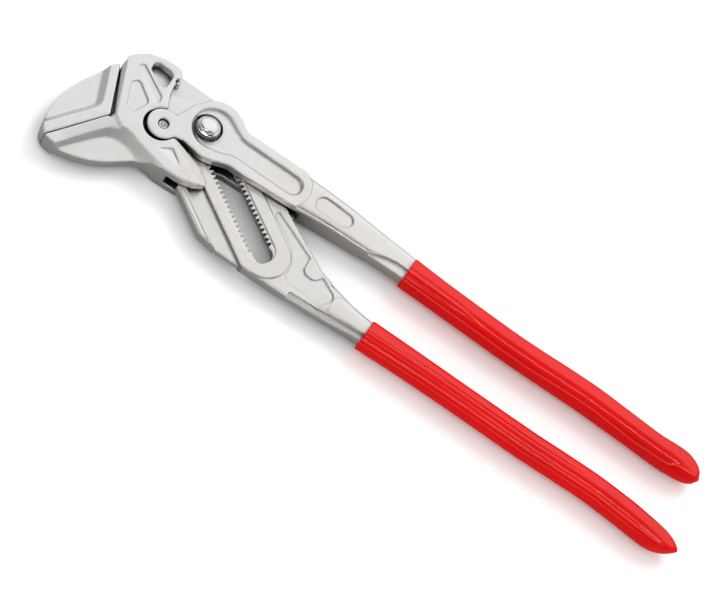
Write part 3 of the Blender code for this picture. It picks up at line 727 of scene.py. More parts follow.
# x, centre y, half width, half height
LOWER_TANG = [
    (92.0, -40.2, 12.4, 3.15), (97.0, -40.6, 11.8, 3.3), (104.0, -41.0, 11.2, 3.7),
    (112.0, -41.3, 10.0, 4.4), (121.0, -41.9, 8.3, 5.0), (128.0, -42.0, 7.3, 5.4),
    (134.0, -42.0, 6.8, 5.5), (142.0, -41.8, 6.0, 5.3), (152.0, -41.5, 5.7, 5.1),
]
FIXED_RECESS = [(-56.1, -26.3, 6), (-70.5, 8.0, 0), (-95.0, 8.0, 0), (-95.0, -75.0, 0),
                tilt(-33.2, -95.0)]
GROOVE = [tilt(-60.0, GROOVE_NEAR), tilt(110.0, GROOVE_NEAR),
          tilt(110.0, GROOVE_FAR), tilt(-60.0, GROOVE_FAR)]
LEDGE = [(87.4, -49.6, 1.5), (88.4, -62.0, 0), (160.0, -62.0, 0), (160.0, -43.6, 0),
         (134.0, -45.2, 0), (112.0, -47.4, 0)]
# the strip along the slot that stands above the rest of the plate
RAISED_STRIP = [
    tilt(-110.0, -120.0), tilt(-24.6, -120.0), tilt(-24.6, -45.0), tilt(79.0, -45.0),
    tilt(80.0, -20.0),
    *[tilt(76.5 + 14.3 * math.cos(math.radians(a)), 1.6 + 14.3 * math.sin(math.radians(a)))
      for a in range(-58, 93, 6)],
    tilt(-70.0, 15.9),
]
# the sunk area at the root of the tang
TANG_ROOT = [
    (80.3, -45.4, 4), (105.5, -45.9, 5), (111.2, -37.2, 5), (98.4, -30.6, 0.8),
    (95.2, -35.6, 4.5), (87.2, -35.6, 4.5), (86.4, -25.2, 1.0), (57.2, -12.6, 1.5),
    (57.6, -16.3, 2), (74.5, -26.0, 16), (81.0, -36.0, 16),
]


def toothed_outline():
    """The slot's opening: teeth along both sides and a blunt round far end."""
    teeth = int((SLOT_END - 4.6 - FIRST_ROOT) / PITCH)
    side = []
    for i in range(teeth):
        root = FIRST_ROOT + PITCH * i
        crest = root + PITCH / 2
        side += [(root - ROOT_FLAT, ROOT), (root + ROOT_FLAT, ROOT),
                 (crest - CREST_FLAT, CREST), (crest + CREST_FLAT, CREST)]
    side[-1] = (crest, CREST)
    out = [tilt(along, -across) for along, across in side]
    for i in range(1, 20):
        angle = math.radians(-90 + 180 * i / 20)
        out.append(tilt(crest + (SLOT_END - crest) * signed_power(math.cos(angle), 0.7),
                        (CREST + 0.7) * signed_power(math.sin(angle), 0.7)))
    return out + [tilt(along, across) for along, across in reversed(side)]


def ledge_cuts():
    """A ledge along the tang's near edge, sinking away from a rounded start."""
    def floor_at(x):
        return 2.0 + max(0.0, x - 88.0) * 0.042

    def front_floor(x, y):
        return floor_at(x) - 0.07 * max(0.0, -49.6 + (x - 87.4) * 0.0935 - y)

    return [prism("sl_ledge_front", LEDGE, front_floor, lambda x, y: 9.0),
            prism("sl_ledge_back", LEDGE, lambda x, y: -9.0, lambda x, y: -floor_at(x))]


def machined_slot(x, y):
    """One over the slot and its teeth, fading to nothing around them."""
    along, across = slot_place(x, y)
    return (np.clip((11.0 - np.abs(across)) / 1.5, 0, 1)
            * np.clip((along - SLOT_START) / 2.0, 0, 1) * np.clip((79.0 - along) / 3.0, 0, 1))


def make_slotted_lever():
    base = eased_slab("sl", SLOTTED_PLATE, PLATE)
    unions = [eased_slab("sl_jaw", FIXED_JAW, RIM), bar("sl_tang", LOWER_TANG, power=4.0)]
    channel = stadium(*tilt(SLOT_START + CHANNEL, 0)[:2], *tilt(SLOT_END - CHANNEL, 0)[:2],
                      CHANNEL)
    cuts = [
        *slab_pair("sl_recess", FIXED_RECESS, (FLOOR, 0.0), (RIM + 1.5, -4.6)),
        *slab_pair("sl_groove", GROOVE, (GROOVE_FLOOR, 0.0), (PLATE + 2.0, 0.0)),
        slab("sl_channel", channel, [(-PLATE - 1.0, 0.0), (TOOTH_FLOOR, 0.0)]),
        slab("sl_teeth", toothed_outline(), [(TOOTH_FLOOR - 0.6, 0.0), (PLATE + 1.0, 0.0)]),
        *ledge_cuts(),
    ]
    faces = (2.6, 4.2)
    slot_border = stadium(*tilt(-4.0, 0)[:2], *tilt(SLOT_END - 7.6, 0)[:2], 8.3)
    groove_wall = [tilt(-44, GROOVE_FAR - 0.2), tilt(84, GROOVE_FAR - 0.2)]
    # each feature also paints shade along its edges; the groove wall line is painted shade only
    features = [
        dict(area=RAISED_STRIP, depth=0.6, ramp=0.5, z=faces, invert=True, ink=0.9),
        dict(area=TANG_ROOT, depth=0.75, ramp=0.5, z=faces),
        dict(area=slot_border, depth=0.2, ramp=0.4, z=faces, ink=0.5),
        dict(line=groove_wall, depth=0.0, ramp=0.75, z=(0.5, 3.45), ink=1.25, wall=True),
        dict(line=[tilt(-58, -26.3), tilt(60, -26.3)], depth=0.12, ramp=0.5, z=faces, ink=0.35),
    ]
    ob = forge("slotted_lever_visual", base, unions, cuts, features, crisp=machined_slot)
    dress(ob, SLOTTED_STEEL, "slotted_handle", "slotted_lever")


make_slotted_lever()

# ================================================================ sliding jaw
# the nose's socket, drawn out across the slot
SOCKET_END = (NOSE[0] + SOCKET_TRAVEL * SLOT_SIN, NOSE[1] - SOCKET_TRAVEL * SLOT_COS)
CHEEK = [
    (-44.3, -27.4, 0.6), (-37.7, -31.6, 1), (-34.0, -32.9, 3), (-24.2, -35.6, 8),
    (-10.0, -38.0, 8), (5.2, -36.9, 6), (12.4, -34.6, 3), (17.6, -30.4, 1.2),
    (17.0, -27.6, 1.0), (8.0, -21.6, 4), (-9.4, -17.3, 0.8),
    *arc(*NOSE, SOCKET_R, -18, SLOT_DEG), *arc(*SOCKET_END, SOCKET_R, SLOT_DEG, SLOT_DEG - 180),
    *arc(*NOSE, SOCKET_R, SLOT_DEG - 180, -249),
    (-24.3, -3.3, 0.5), (-27.4, 3.3, 3), (-28.5, 9.5, 4), (-28.2, 17.0, 2), (-31.0, 20.3, 3),
    (-39.5, 19.9, 12), (-50.5, 16.4, 12), (-57.6, 8.6, 3), (-57.9, 1.2, 1),
]
JAW_CORE = [
    tilt(JAW_FACE + GAP / 2, EDGE - GAP, 1.2), tilt(JAW_FACE + GAP / 2, JAW_TIP, 0.6),
    (-61.0, -62.6, 1.5), (-56.0, -62.7, 5), (-47.6, -60.3, 20), (-39.5, -56.6, 20),
    (-32.7, -51.9, 20), (-26.5, -46.0, 12), (-20.8, -40.8, 8), (-13.0, -38.0, 8),
    (-2.5, -37.4, 0), (-2.5, -33.25, 0),
]
WEDGE = [tilt(-23.3, -80.0), tilt(-6.0, -80.0), tilt(-6.0, -44.6), tilt(-23.3, -44.6)]
# ribs that run in the grooves, and the blocks that join them to the cheeks:
# name, start and end along the slot, near and far across it, low and high
RIBS = [
    ("rib", -46.0, 24.0, GROOVE_NEAR + GAP, GROOVE_FAR - GAP, GROOVE_FLOOR + GAP, FORK - GAP),
    ("rib_root", -45.9, -20.2, GROOVE_NEAR + GAP + 0.1, GROOVE_FAR - GAP - 0.1,
     FORK - GAP - 0.4, FORK + 0.1),
    ("rib_toe", 2.5, 23.9, GROOVE_NEAR + GAP + 0.1, -20.6, FORK - GAP - 0.4, FORK + 0.1),
]
# the recess, along and across the slot: where its floor ends, and where its slope
# reaches a height of HEAD + 1
RECESS_FOOT = [
    (-15.1, -96.0), (-14.9, -67.9), (-14.1, -57.4), (-13.1, -54.1), (-11.0, -50.7),
    (-8.0, -48.2), (-4.7, -46.2), (1.1, -44.4), (6.3, -43.4), (12.5, -42.4),
]
RECESS_BROW = [
    (-19.0, -96.0), (-18.8, -67.9), (-18.6, -55.2), (-17.2, -48.9), (-15.3, -45.7),
    (-13.1, -43.7), (-8.8, -42.0), (-1.9, -39.8), (5.6, -36.9), (13.4, -33.6),
]
CHEEK_POCKET = [(NOSE[0] - 3.0, NOSE[1] + 4.0, 0), *arc(*NOSE, 30.5, 84, 112, 7),
                *arc(*NOSE, 24.5, 122, 148, 7), *arc(*NOSE, 14.4, 154, 174, 7)]
CHEEK_WINDOW = [(-43.8, 9.2, 1.4), (-34.4, 4.0, 2.0), (-31.7, 5.0, 1.5), (-32.1, 13.0, 2.0),
                (-34.3, 14.9, 1.8), (-42.0, 15.1, 2.2), (-44.4, 13.2, 2.0)]
STOP_PIN = (-27.9, 12.6)
CHEEK_FACES = (8.4, 9.6)
# each feature also paints shade along its edges
JAW_FEATURES = [
    dict(area=[(-48.3, -4.4, 3), (-42.6, -18.4, 3.5), (-36.8, -19.6, 4), (-33.6, -9.2, 3),
               (-45.0, -1.0, 2.5)],
         depth=0.7, ramp=0.45, z=CHEEK_FACES),
    dict(area=[(-50.4, 6.4, 1.2), (-46.4, 1.6, 2), (-34.6, -6.2, 2), (-31.0, -8.0, 1),
               (-29.2, -5.0, 1.5), (-30.2, -1.6, 1.2), (-48.4, 9.0, 0.6)],
         depth=0.45, ramp=0.4, z=CHEEK_FACES, fade=((-43.5, -3.5), (0.5, 0.866), 4.5)),
    dict(area=[(-14.6, -29.2, 0.8), (1.0, -30.8, 0.8), (-8.3, -23.6, 0.8)],
         depth=0.7, ramp=0.4, z=CHEEK_FACES, fade=((-6.8, -30.2), (0.05, 1.0), 4.0)),
]


def wedge_top(x, y):
    return RIM - 0.08 + 1.5 * (slot_place(x, y)[1] + 80.0) / 35.4


def rounded(points, steps=6):
    """A smooth curve through the points."""
    out = []
    p = np.array([points[0]] + list(points) + [points[-1]], float)
    for k in range(1, len(p) - 2):
        for i in range(steps):
            t = i / steps
            out.append(0.5 * (2 * p[k] + (p[k + 1] - p[k - 1]) * t
                              + (2 * p[k - 1] - 5 * p[k] + 4 * p[k + 1] - p[k + 2]) * t * t
                              + (3 * p[k] - p[k - 1] - 3 * p[k + 1] + p[k + 2]) * t ** 3))
    return [tuple(point) for point in out] + [tuple(points[-1])]


def recess_row(points, z):
    row = rounded(points) + [(40.0, -60.0), (40.0, -110.0), (-15.0, -110.0)]
    return [(*tilt(along, across)[:2], z) for along, across in reversed(row)]


def make_sliding_jaw():
    base = eased_slab("sj", JAW_CORE, RIM)
    unions = slab_pair("sj_cheek", CHEEK, (FORK, 0.0), (HEAD - 0.5, 0.0), (HEAD, 0.5))
    for name, start, end, near, far, low, high in RIBS:
        outline = [tilt(start, near), tilt(end, near), tilt(end, far), tilt(start, far)]
        unions += slab_pair("sj_" + name, outline, (low, 0.0), (high, 0.0))
    unions += prism_pair("sj_wedge", WEDGE, lambda x, y: 4.2, wedge_top)
    socket = stadium(*SOCKET_END, *NOSE, SOCKET_R)
    inner = FORK - 0.2
    cuts = [
        stack_rings("sj_recess_front", [recess_row(RECESS_FOOT, FLOOR),
                                        recess_row(RECESS_BROW, HEAD + 1.0)]),
        stack_rings("sj_recess_back", [recess_row(RECESS_BROW, -HEAD - 1.0),
                                       recess_row(RECESS_FOOT, -FLOOR)]),
        *slab_pair("sj_socket", socket, (FORK - GAP, 0.0), (HEAD + 1.0, 0.0)),
        *slab_pair("sj_pocket", CHEEK_POCKET, (inner, 0.0), (HEAD - 2.2, 0.0)),
        *slab_pair("sj_window", CHEEK_WINDOW, (inner, 0.0), (HEAD - 2.0, 0.0),
                   (HEAD + 1.0, -0.6)),
        slab("sj_notch", arc(*STOP_PIN, 1.8, 0, 348, 12), [(inner, 0.0), (HEAD + 1.0, 0.0)]),
        # broad sloping edges: beside the jaw gap, and where the lever sweeps over the toe
        *slope_cutters("sj_gap_slope", (-58.4, 2.4), (-45.4, -28.6), width=2.2, depth=2.6),
        *slope_cutters("sj_toe_slope", (18.6, -26.8), (-10.4, -13.2), width=6.6, depth=2.3),
    ]
    ob = forge("sliding_jaw_visual", base, unions, cuts, JAW_FEATURES)
    dress(ob, JAW_STEEL, "sliding_jaw_body", "sliding_jaw")


make_sliding_jaw()

# ================================================================ actuating lever
LEVER_HEAD = [
    *arc(*NOSE, NOSE_R, 113, 342),
    (-6.4, -15.7, 3), (0.0, -16.6, 8), (6.0, -17.6, 8), (12.0, -15.9, 8), (20.0, -11.9, 10),
    (31.0, -11.3, 10), (45.0, -9.7, 0), (57.0, -8.6, 0), (63.4, -7.6, 1.0), (66.0, -1.0, 8),
    (66.4, 5.0, 8), (63.6, 11.5, 8), (58.4, 14.9, 3), (28.0, 13.2, 12), (18.5, 12.4, 8),
    (12.6, 17.0, 8), (6.0, 19.6, 10), (-1.0, 19.4, 8), (-6.8, 16.2, 8), (-10.9, 13.2, 8),
    (-17.0, 10.0, 0), (-27.6, 4.6, 1.2),
]
# x, centre y, half width, half height
LEVER_ARM = [
    (44.0, 2.6, 11.2, 7.6), (52.0, 2.9, 11.5, 7.5), (60.0, 3.25, 11.6, 7.35),
    (68.0, 3.9, 11.1, 7.2), (78.0, 4.6, 10.5, 7.0), (85.0, 5.0, 10.1, 6.85),
    (100.0, 5.45, 9.15, 6.4), (115.0, 5.7, 8.2, 5.9), (128.0, 5.85, 7.6, 5.6),
    (134.0, 5.8, 7.3, 5.5), (142.0, 5.5, 6.4, 5.3), (152.0, 5.3, 6.0, 5.1),
]
# the fork's root is a straight line: the unit normal to it and its distance from the hinge
FORK_NORMAL, FORK_DISTANCE, FORK_REACH = (0.466, 0.885), 25.1, 40.0
FLANK = [(-14.4, 30.0, 0), (-60.0, 30.0, 0), (-60.0, -6.0, 0), (-29.5, -8.0, 0),
         *arc(*NOSE, NOSE_R + 0.2, 124, 74), (-15.4, 1.0, 3), (-13.6, 7.0, 6), (-8.6, 13.6, 4)]
# name, x, y, radius, low, high
BORES = [
    ("bore", 0, 0, BORE_R, 5.4, HEAD + 1),
    ("shank_bore", 0, 0, SHANK_R + 0.1, FORK - 0.5, 5.9),
    ("journal_bore", 0, 0, JOURNAL_R + 0.1, -HEAD - 1.0, -FORK + 0.5),
    ("ring_bore", 0, 0, 8.3, -HEAD - 1.0, -7.3),
    ("nose_hole", *NOSE, 3.1, -HEAD - 1.0, HEAD + 1.0),
]
# along the near side of the tang, from a swept start into the grip
FLUTE = [(105.6, -6.2, 2), (160.0, -9.0, 0), (160.0, 3.2, 0), (133.0, 3.6, 8),
         (126.5, 3.5, 12), (120.5, 2.3, 14), (114.5, 0.0, 14), (108.5, -3.4, 10)]
HEAD_POCKET = [
    *arc(2.9, 1.5, 12.2, 64, 282), (13.0, -8.4, 8), (20.0, -4.9, 10),
    *arc(55.2, 2.7, 5.7, -88, 88), (20.0, 6.7, 10), (13.5, 9.6, 8),
]
ARM_POCKET = [(73.0, 0.2, 2.5), (90.5, 0.4, 4), (95.4, 4.6, 4), (92.5, 9.8, 4),
              (74.0, 9.8, 4), (70.2, 5.6, 3.5)]
# each feature also paints shade along its edges
LEVER_FEATURES = [
    dict(area=HEAD_POCKET, depth=1.45, ramp=1.9, z=(6.9, 9.6), ink=0.8),
    dict(area=ARM_POCKET, depth=0.85, ramp=0.6, z=(5.8, 7.6)),
    dict(area=arc(0.0, 0.0, 9.6, 0, 354), depth=-0.15, ramp=0.8, z=(6.9, 9.6), ink=0.3),
]


def taper_cutter(sign):
    """Thins the lever evenly from the head towards the arm, on one face."""
    rows = [[(24.0, y, sign * HEAD), (84.0, y, sign * 7.2), (84.0, y, sign * 15.0),
             (24.0, y, sign * 15.0)] for y in (-30.0, 40.0)]
    return stack_rings("al_taper_" + str(sign), rows)


def fork_outline():
    normal_x, normal_y = FORK_NORMAL
    reach = FORK_REACH
    return [((FORK_DISTANCE + normal_y * reach) / normal_x, -reach),
            ((FORK_DISTANCE - normal_y * reach) / normal_x, reach), (-60.0, reach),
            (-60.0, -reach)]


def make_actuating_lever():
    base = eased_slab("al", LEVER_HEAD, HEAD, ease=0.35)
    unions = [bar("al_arm", LEVER_ARM, power=7.0, count=128)]
    cuts = [
        *[taper_cutter(sign) for _, sign in SIDES],
        slab("al_fork", fork_outline(), [(-FORK, 0.0), (FORK, 0.0)]),
        *slab_pair("al_flank", FLANK, (HEAD - 2.5, 0.0), (HEAD - 1.2, 0.0), (HEAD + 1.0, -1.0)),
        *[cylinder("al_" + name, *sizes) for name, *sizes in BORES],
        *prism_pair("al_flute", FLUTE, lambda x, y: 3.7, lambda x, y: 12.0),
    ]
    ob = forge("actuating_lever_visual", base, unions, cuts, LEVER_FEATURES)
    dress(ob, LEVER_STEEL, "actuating_handle", "actuating_lever")


make_actuating_lever()

# ================================================================ dipped grips
# x, centre y, half width, half height
UPPER_GRIP = [
    (134.0, 5.3, 8.4, 9.0), (160.0, 5.1, 7.8, 8.9), (200.0, 5.3, 7.6, 8.8),
    (220.0, 6.0, 7.7, 8.8), (240.0, 7.2, 7.9, 8.8), (260.0, 8.0, 7.9, 8.8),
    (280.0, 7.8, 7.6, 8.8), (300.0, 7.6, 7.4, 8.8), (312.0, 8.2, 7.8, 8.9),
    (318.0, 8.4, 7.8, 8.6), (324.0, 8.1, 6.9, 7.6), (328.5, 7.7, 5.2, 5.8),
    (330.6, 7.45, 3.6, 4.1), (331.6, 7.4, 2.0, 2.3), (332.3, 7.3, 1.2, 1.4),
    (332.6, 7.3, 0.6, 0.7),
]
LOWER_GRIP = [
    (134.0, -42.4, 8.2, 9.0), (160.0, -41.2, 7.7, 8.9), (200.0, -40.0, 7.4, 8.8),
    (240.0, -39.0, 7.5, 8.8), (260.0, -37.9, 7.5, 8.8), (285.0, -36.8, 7.4, 8.8),
    (305.0, -37.3, 7.4, 8.8), (320.0, -38.4, 7.2, 8.7), (328.0, -38.8, 6.7, 8.2),
    (334.0, -38.5, 5.3, 6.4), (338.0, -38.0, 3.5, 4.2), (340.4, -37.6, 1.9, 2.3),
    (341.4, -37.5, 1.0, 1.2), (341.8, -37.5, 0.5, 0.6),
]
# x, y of the main crease
UPPER_CREASE = [
    (134, 0.2), (200, 0.7), (220, 1.2), (235, 2.5), (250, 3.7), (262, 4.0), (290, 3.0),
    (310, 4.0), (313, 4.6), (316, 6.8), (320, 7.5), (330, 7.9),
]
LOWER_CREASE = [
    (134, -45.6), (170, -43.2), (200, -42.0), (240, -41.0), (260, -39.7), (285, -38.3),
    (310, -39.3), (332, -39.8),
]
# creases: offset in y from the main crease, height, width, x where it starts to fade,
# x where it is gone, strength of its painted highlight
UPPER_CREASES = [
    (0.0, 0.42, 0.55, 322, 329, 1.0), (1.9, 0.30, 0.45, 142, 172, 0.5),
    (4.4, -0.45, 0.6, 150, 182, 0.0), (6.4, 0.40, 0.6, 152, 188, 0.4),
    (8.2, -0.38, 0.55, 145, 175, 0.0),
]
LOWER_CREASES = [
    (0.0, 0.40, 0.50, 326, 334, 0.9), (-2.7, 0.30, 0.45, 302, 326, 0.8),
    (3.0, 0.26, 0.5, 150, 210, 0.4), (6.4, -0.36, 0.55, 230, 285, 0.0),
    (8.0, 0.30, 0.6, 150, 200, 0.4),
]
VIEW_COT = 0.589      # the creases lie on lines seen from above the near side
GRIP_POWER = 2.5
HALF_COLUMNS = 96     # mesh columns around half of the grip
# the rolled lip: distance from the open end, growth of the section
GRIP_LIP = [(0.0, -0.9), (0.12, -0.45), (0.4, -0.14), (0.9, 0.0)]


def distinct(rows):
    """Drops a row that stands where the one before it does."""
    return [row for i, row in enumerate(rows) if i == 0 or row[0] - rows[i - 1][0] > 0.01]


def socket_rows(stations):
    """The tang's sections inside the grip, with clearance and a closing row."""
    clear = 0.45
    rows = [(x, y, half_width + clear, half_height + clear)
            for x, y, half_width, half_height in smooth_stations(stations, 2.0) if x >= 133.9]
    return rows + [(rows[-1][0] + 0.8, *rows[-1][1:])]


def crease_places(y, z, arc_length, targets, main):
    """Lengths around the half section at which the creases lie, kept apart and in order."""
    key = y + (z - 0.3) * VIEW_COT
    peak = int(np.argmax(key))
    span = arc_length[-1] - arc_length[peak]
    spots = np.array([float(np.interp(-target, -key[peak:], arc_length[peak:]))
                      for target in targets])
    spots = np.clip(spots, arc_length[peak] + 0.02 * span, arc_length[-1] - 0.04 * span)
    for i in range(main + 1, len(spots)):
        spots[i] = max(spots[i], spots[i - 1] + 0.012 * span)
    for i in range(main - 1, -1, -1):
        spots[i] = min(spots[i], spots[i + 1] - 0.012 * span)
    return np.clip(spots, 0.0, arc_length[-1])


def dipped(name, stations, tang, main_crease, creases):
    """A dipped sleeve: a loft whose skin shows the tang's edges as creases running along it,
    with a blind socket for the tang. A column of the mesh follows every crease, so it stays
    a clean line."""
    fine = smooth_stations(stations, 1.3)
    start = stations[0][0]
    plan = distinct([(start + x, *fine[0][1:], grow) for x, grow in GRIP_LIP]
                    + [(*row, 0.0) for row in fine if row[0] > start + 1.2])
    creases = sorted(creases, key=lambda crease: -crease[0])
    main = [crease[0] for crease in creases].index(0.0)
    angles = np.linspace(0.0, math.pi, 721)
    cos, sin = np.cos(angles), np.sin(angles)
    exponent = 2.0 / GRIP_POWER
    rows, painted_highlight = [], []
    columns = None
    for x, center, half_width, half_height, grow in plan:
        y = center + (half_width + grow) * np.copysign(np.abs(cos) ** exponent, cos)
        z = (half_height + grow) * np.abs(sin) ** exponent
        arc_length = np.concatenate([[0.0], np.cumsum(np.hypot(np.diff(y), np.diff(z)))])
        main_y = float(np.interp(x, *zip(*main_crease)))
        targets = [main_y + crease[0] for crease in creases]
        spots = crease_places(y, z, arc_length, targets, main)
        knots = np.concatenate([[0.0], spots, [arc_length[-1]]])
        if columns is None:
            share = np.diff(knots)
            columns = [max(4, int(round(HALF_COLUMNS * part / share.sum()))) for part in share]
        lengths = [0.0]
        for i, number in enumerate(columns):
            t = np.arange(1, number + 1) / number
            ease = 0.5 - 0.5 * np.cos(math.pi * t)
            lengths += list(knots[i] + (knots[i + 1] - knots[i]) * (0.65 * ease + 0.35 * t))
        lengths = np.array(lengths)
        y, z = np.interp(lengths, arc_length, y), np.interp(lengths, arc_length, z)
        normal_y = (y - center) / max(half_width, 0.1) ** 2
        normal_z = z / max(half_height, 0.1) ** 2
        size = np.hypot(normal_y, normal_z)
        size[size == 0] = 1.0
        normal_y, normal_z = normal_y / size, normal_z / size
        lift, highlight_row = np.zeros(len(lengths)), np.zeros(len(lengths))
        for spot, (_, height, width, fade_start, fade_end, highlight_strength) in zip(spots, creases):
            strength = float(np.interp(x, [fade_start, fade_end], [1.0, 0.0]))
            away = lengths - spot
            lift += height * (np.exp(-((away / width) ** 2)) * strength)
            # painted highlight along the crease, kept for the material
            highlight_row = np.maximum(highlight_row, highlight_strength * np.exp(-((away / (0.45 * width)) ** 2)) * strength)
        lift *= min(1.0, half_width / 5.0) * np.clip(normal_z * 2.5, 0.0, 1.0)
        y, z = y + normal_y * lift, z + normal_z * lift
        half_ring = [(x, float(a), float(b)) for a, b in zip(y, z)]
        rows.append(half_ring + [(x, a, -b) for _, a, b in half_ring[-2:0:-1]])
        painted_highlight += [*highlight_row, *highlight_row[-2:0:-1]]
    count = len(rows[0])
    inner = [section(*row, 4.0, count) for row in distinct(socket_rows(tang))]
    ob = stack_rings(name, inner[::-1] + rows)
    add_line_attribute(ob.data, [0.0] * (count * len(inner)) + painted_highlight)
    shade(ob, sharp=60)
    return ob


upper_grip = dipped("actuating_lever_grip_visual", UPPER_GRIP, LEVER_ARM, UPPER_CREASE,
                    UPPER_CREASES)
dress(upper_grip, RED, "actuating_handle", "actuating_lever_grip")
lower_grip = dipped("slotted_lever_grip_visual", LOWER_GRIP, LOWER_TANG, LOWER_CREASE,
                    LOWER_CREASES)
dress(lower_grip, RED, "slotted_handle", "slotted_lever_grip")

# ================================================================ button, spring, pins
# radius, z
BUTTON = [
    (0, 11.0), (SHANK_R + 0.3, 11.0), (SHANK_R + 0.3, 10.1), (6.3, 10.1), (6.55, 10.25),
    (6.55, 10.75), (6.45, 10.95), (6.2, 11.12), (5.5, 11.42), (5.36, 11.5), (5.28, 11.7),
    (5.22, 12.0), (5.08, 12.22), (4.8, 12.36), (4.5, 12.42), (4.38, 12.30), (4.24, 12.30),
    (4.12, 12.44), (3.8, 12.49), (0, 12.49),
]
WIRE_R, COIL_LOW, COIL_HIGH, TURNS = 0.35, 7.6, 6.2, 2.25
SPRING_BOTTOM, SPRING_TOP = 6.2, 10.0
WIRE_SIDES, TURN_STEPS = 14, 72


def make_spring():
    """A conical coil of round wire around the hinge bolt."""
    low, high = SPRING_BOTTOM + WIRE_R, SPRING_TOP - WIRE_R
    around = [2 * math.pi * k / WIRE_SIDES for k in range(WIRE_SIDES)]
    rows = []
    steps = int(TURNS * TURN_STEPS)
    for i in range(steps + 1):
        t = i / steps
        angle = 2 * math.pi * TURNS * t
        radius, z = COIL_LOW + (COIL_HIGH - COIL_LOW) * t, low + (high - low) * t
        rows.append([((radius + WIRE_R * math.cos(b)) * math.cos(angle),
                      (radius + WIRE_R * math.cos(b)) * math.sin(angle),
                      z + WIRE_R * math.sin(b)) for b in around])
    ob = stack_rings("return_spring_visual", rows)
    ob.data.shade_smooth()
    dress(ob, SPRING, "bolt_seat", "return_spring")


def make_nose_pin(side, sign):
    low, high = FORK + 0.3, HEAD - 1.3
    profile = [
        (0, low), (2.45, low), (2.8, low + 0.35), (2.8, high - 0.45), (2.62, high - 0.12),
        (2.3, high), (1.5, high), (1.2, high - 0.25), (0.5, high - 0.75), (0, high - 0.85),
    ]
    if sign < 0:
        profile = [(radius, -z) for radius, z in reversed(profile)]
    ob = turned("nose_pin_" + side + "_visual", profile, *NOSE, segments=96)
    dress(ob, PIN, "actuating_handle", "nose_pin_" + side)


def make_stop_pin():
    profile = [(0, FORK + 0.1), (1.5, FORK + 0.1), (1.5, 6.8), (1.4, 7.05), (1.15, 7.2), (0, 7.2)]
    ob = turned("stop_pin_visual", profile, *STOP_PIN, segments=64)
    dress(ob, PIN, "sliding_jaw_body", "stop_pin")


button = turned("push_button_visual", BUTTON, sharp=50)
dress(button, CHROME, "hinge_bolt_body", "push_button")
make_spring()
for side, sign in SIDES:
    make_nose_pin(side, sign)
make_stop_pin()

# these CAD nodes show as they are
for node, material in (("hinge_bolt", BOLT), ("retaining_ring", SPRING),
                       ("spring_seat_washer", SPRING)):
    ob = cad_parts[node]
    ob.data.materials.clear()
    ob.data.materials.append(material)


# ================================================================ floor, light and camera
# from here on, lengths are metres
def paper():
    """White to the eye and darker in what shiny surfaces mirror."""
    mat = Material("paper")
    mat.tree.nodes.remove(mat.shader)
    white = mat.node("ShaderNodeBsdfDiffuse", Color=(0.90, 0.90, 0.905, 1))
    dim = mat.node("ShaderNodeBsdfDiffuse", Color=(0.29, 0.286, 0.283, 1))
    blend = mat.node("ShaderNodeMixShader")
    path = mat.node("ShaderNodeLightPath")
    mat.feed(blend.inputs[0], path.outputs["Is Glossy Ray"])
    mat.feed(blend.inputs[1], white.outputs[0])
    mat.feed(blend.inputs[2], dim.outputs[0])
    mat.feed(mat.tree.nodes["Material Output"].inputs[0], blend.outputs[0])
    return mat.material


def make_floor():
    mesh = bpy.data.meshes.new("floor")
    mesh.from_pydata([(-4, -4, 0), (4, -4, 0), (4, 4, 0), (-4, 4, 0)], [], [(0, 1, 2, 3)])
    floor = bpy.data.objects.new("floor", mesh)
    floor.location.z = cad_lo.z - 0.0002
    bpy.context.scene.collection.objects.link(floor)
    mesh.materials.append(paper())


def make_world():
    """Shiny surfaces mirror a studio; everything else gets even soft light."""
    world = bpy.data.worlds.new("studio")
    bpy.context.scene.world = world
    world.use_nodes = True
    sky = Nodes(world.node_tree)
    background = sky.tree.nodes["Background"]
    x, y, z = sky.parts(sky.node("ShaderNodeTexCoord").outputs["Generated"])
    elevation = sky.math("ARCSINE", z)
    far = sky.span(sky.plus(sky.multiply(x, by=0.25), y), start=-0.05, end=0.45)
    # a broad soft light on the far side
    soft = sky.multiply(sky.span(elevation, start=0.05, end=0.30),
                        by=sky.span(elevation, start=1.13, end=1.24, low=1.0, high=0.0))
    soft = sky.multiply(soft, by=sky.span(elevation, start=0.30, end=0.95, low=0.80))
    soft = sky.multiply(soft, by=far)
    near = sky.multiply(sky.math("SUBTRACT", 1.0, far),
                        by=sky.span(elevation, start=0.70, end=0.95, low=1.0, high=0.0))
    # a narrow bright strip high on the near side
    strip = sky.multiply(sky.span(y, start=-0.435, end=-0.425),
                         by=sky.span(y, start=-0.385, end=-0.375, low=1.0, high=0.0))
    strip = sky.multiply(strip, by=sky.span(z, start=0.55, end=0.62))
    level = sky.plus(sky.multiply(soft, by=1.13), sky.multiply(strip, by=10.0))
    near_level = sky.span(x, start=-0.5, end=0.5, low=0.42, high=0.22)
    level = sky.plus(sky.multiply(near, by=near_level), level)
    level = sky.plus(level, other=0.06)
    mirrored = sky.node("ShaderNodeLightPath").outputs["Is Glossy Ray"]
    even = sky.multiply(sky.math("SUBTRACT", 1.0, mirrored), by=1.14)
    sky.feed(background.inputs["Strength"], sky.plus(sky.multiply(level, by=mirrored), even))
    sky.feed(background.inputs["Color"], (1.0, 0.995, 0.985))


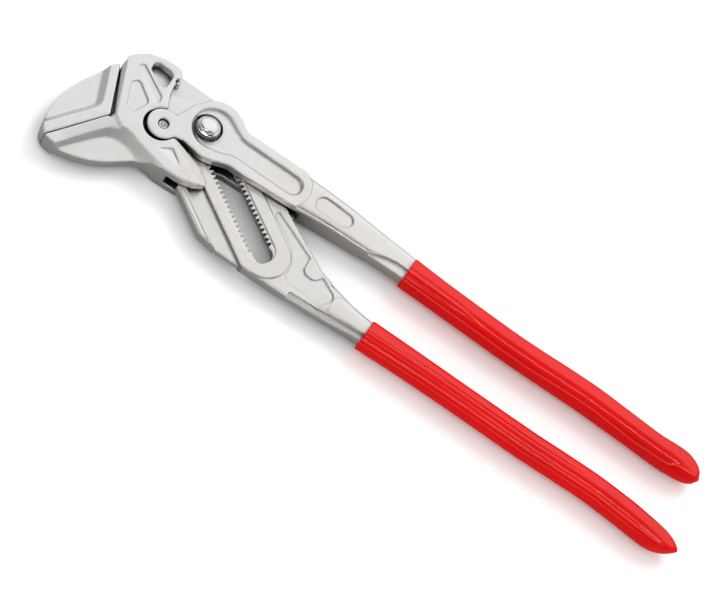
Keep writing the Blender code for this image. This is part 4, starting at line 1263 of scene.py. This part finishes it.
KEY_OFFSET, KEY_SIZE, KEY_POWER = Vector((0.25, 0.95, 1.15)), 0.9, 9.5


def make_key_light():
    """A disk above the far side, aimed at the middle of the tool and left out of mirrors."""
    data = bpy.data.lights.new("key", "AREA")
    data.shape, data.size, data.energy = "DISK", KEY_SIZE, KEY_POWER
    key = bpy.data.objects.new("key", data)
    bpy.context.scene.collection.objects.link(key)
    middle = Vector(((cad_lo.x + cad_hi.x) / 2, (cad_lo.y + cad_hi.y) / 2, 0.0))
    key.location = middle + KEY_OFFSET
    key.rotation_mode = "QUATERNION"
    key.rotation_quaternion = (middle - (middle + KEY_OFFSET)).to_track_quat("-Z", "Y")
    key.visible_glossy = False


ELEVATION, AZIMUTH, ROLL = math.radians(59.5), math.radians(4.6586), math.radians(40.0)
DISTANCE, AIM = 1.415968, Vector((0.12296, -0.02361, 0.0076))
SENSOR_WIDTH, LENS = 36.0, 128.7482806     # millimetres


def make_camera():
    """Looks from above the near side, rolled, at the distance that frames the tool."""
    toward = Vector((-math.cos(ELEVATION) * math.sin(AZIMUTH),
                     -math.cos(ELEVATION) * math.cos(AZIMUTH), math.sin(ELEVATION)))
    right = Vector((math.cos(AZIMUTH), -math.sin(AZIMUTH), 0.0))
    up = toward.cross(right)
    x_axis = right * math.cos(ROLL) + up * math.sin(ROLL)
    y_axis = -right * math.sin(ROLL) + up * math.cos(ROLL)
    camera = bpy.data.objects.new("camera", bpy.data.cameras.new("camera"))
    bpy.context.scene.collection.objects.link(camera)
    camera.data.sensor_fit = "HORIZONTAL"
    camera.data.sensor_width = SENSOR_WIDTH
    camera.data.lens = LENS
    camera.data.clip_start, camera.data.clip_end = 0.05, 20.0
    camera.rotation_mode = "QUATERNION"
    axes = Matrix((x_axis, y_axis, toward)).transposed()
    camera.rotation_quaternion = axes.to_quaternion()
    camera.location = AIM + toward * DISTANCE
    bpy.context.scene.camera = camera


make_floor()
make_world()
make_key_light()
make_camera()
bpy.context.scene.view_settings.view_transform = "Standard"
bpy.context.scene.view_settings.exposure = 0.0
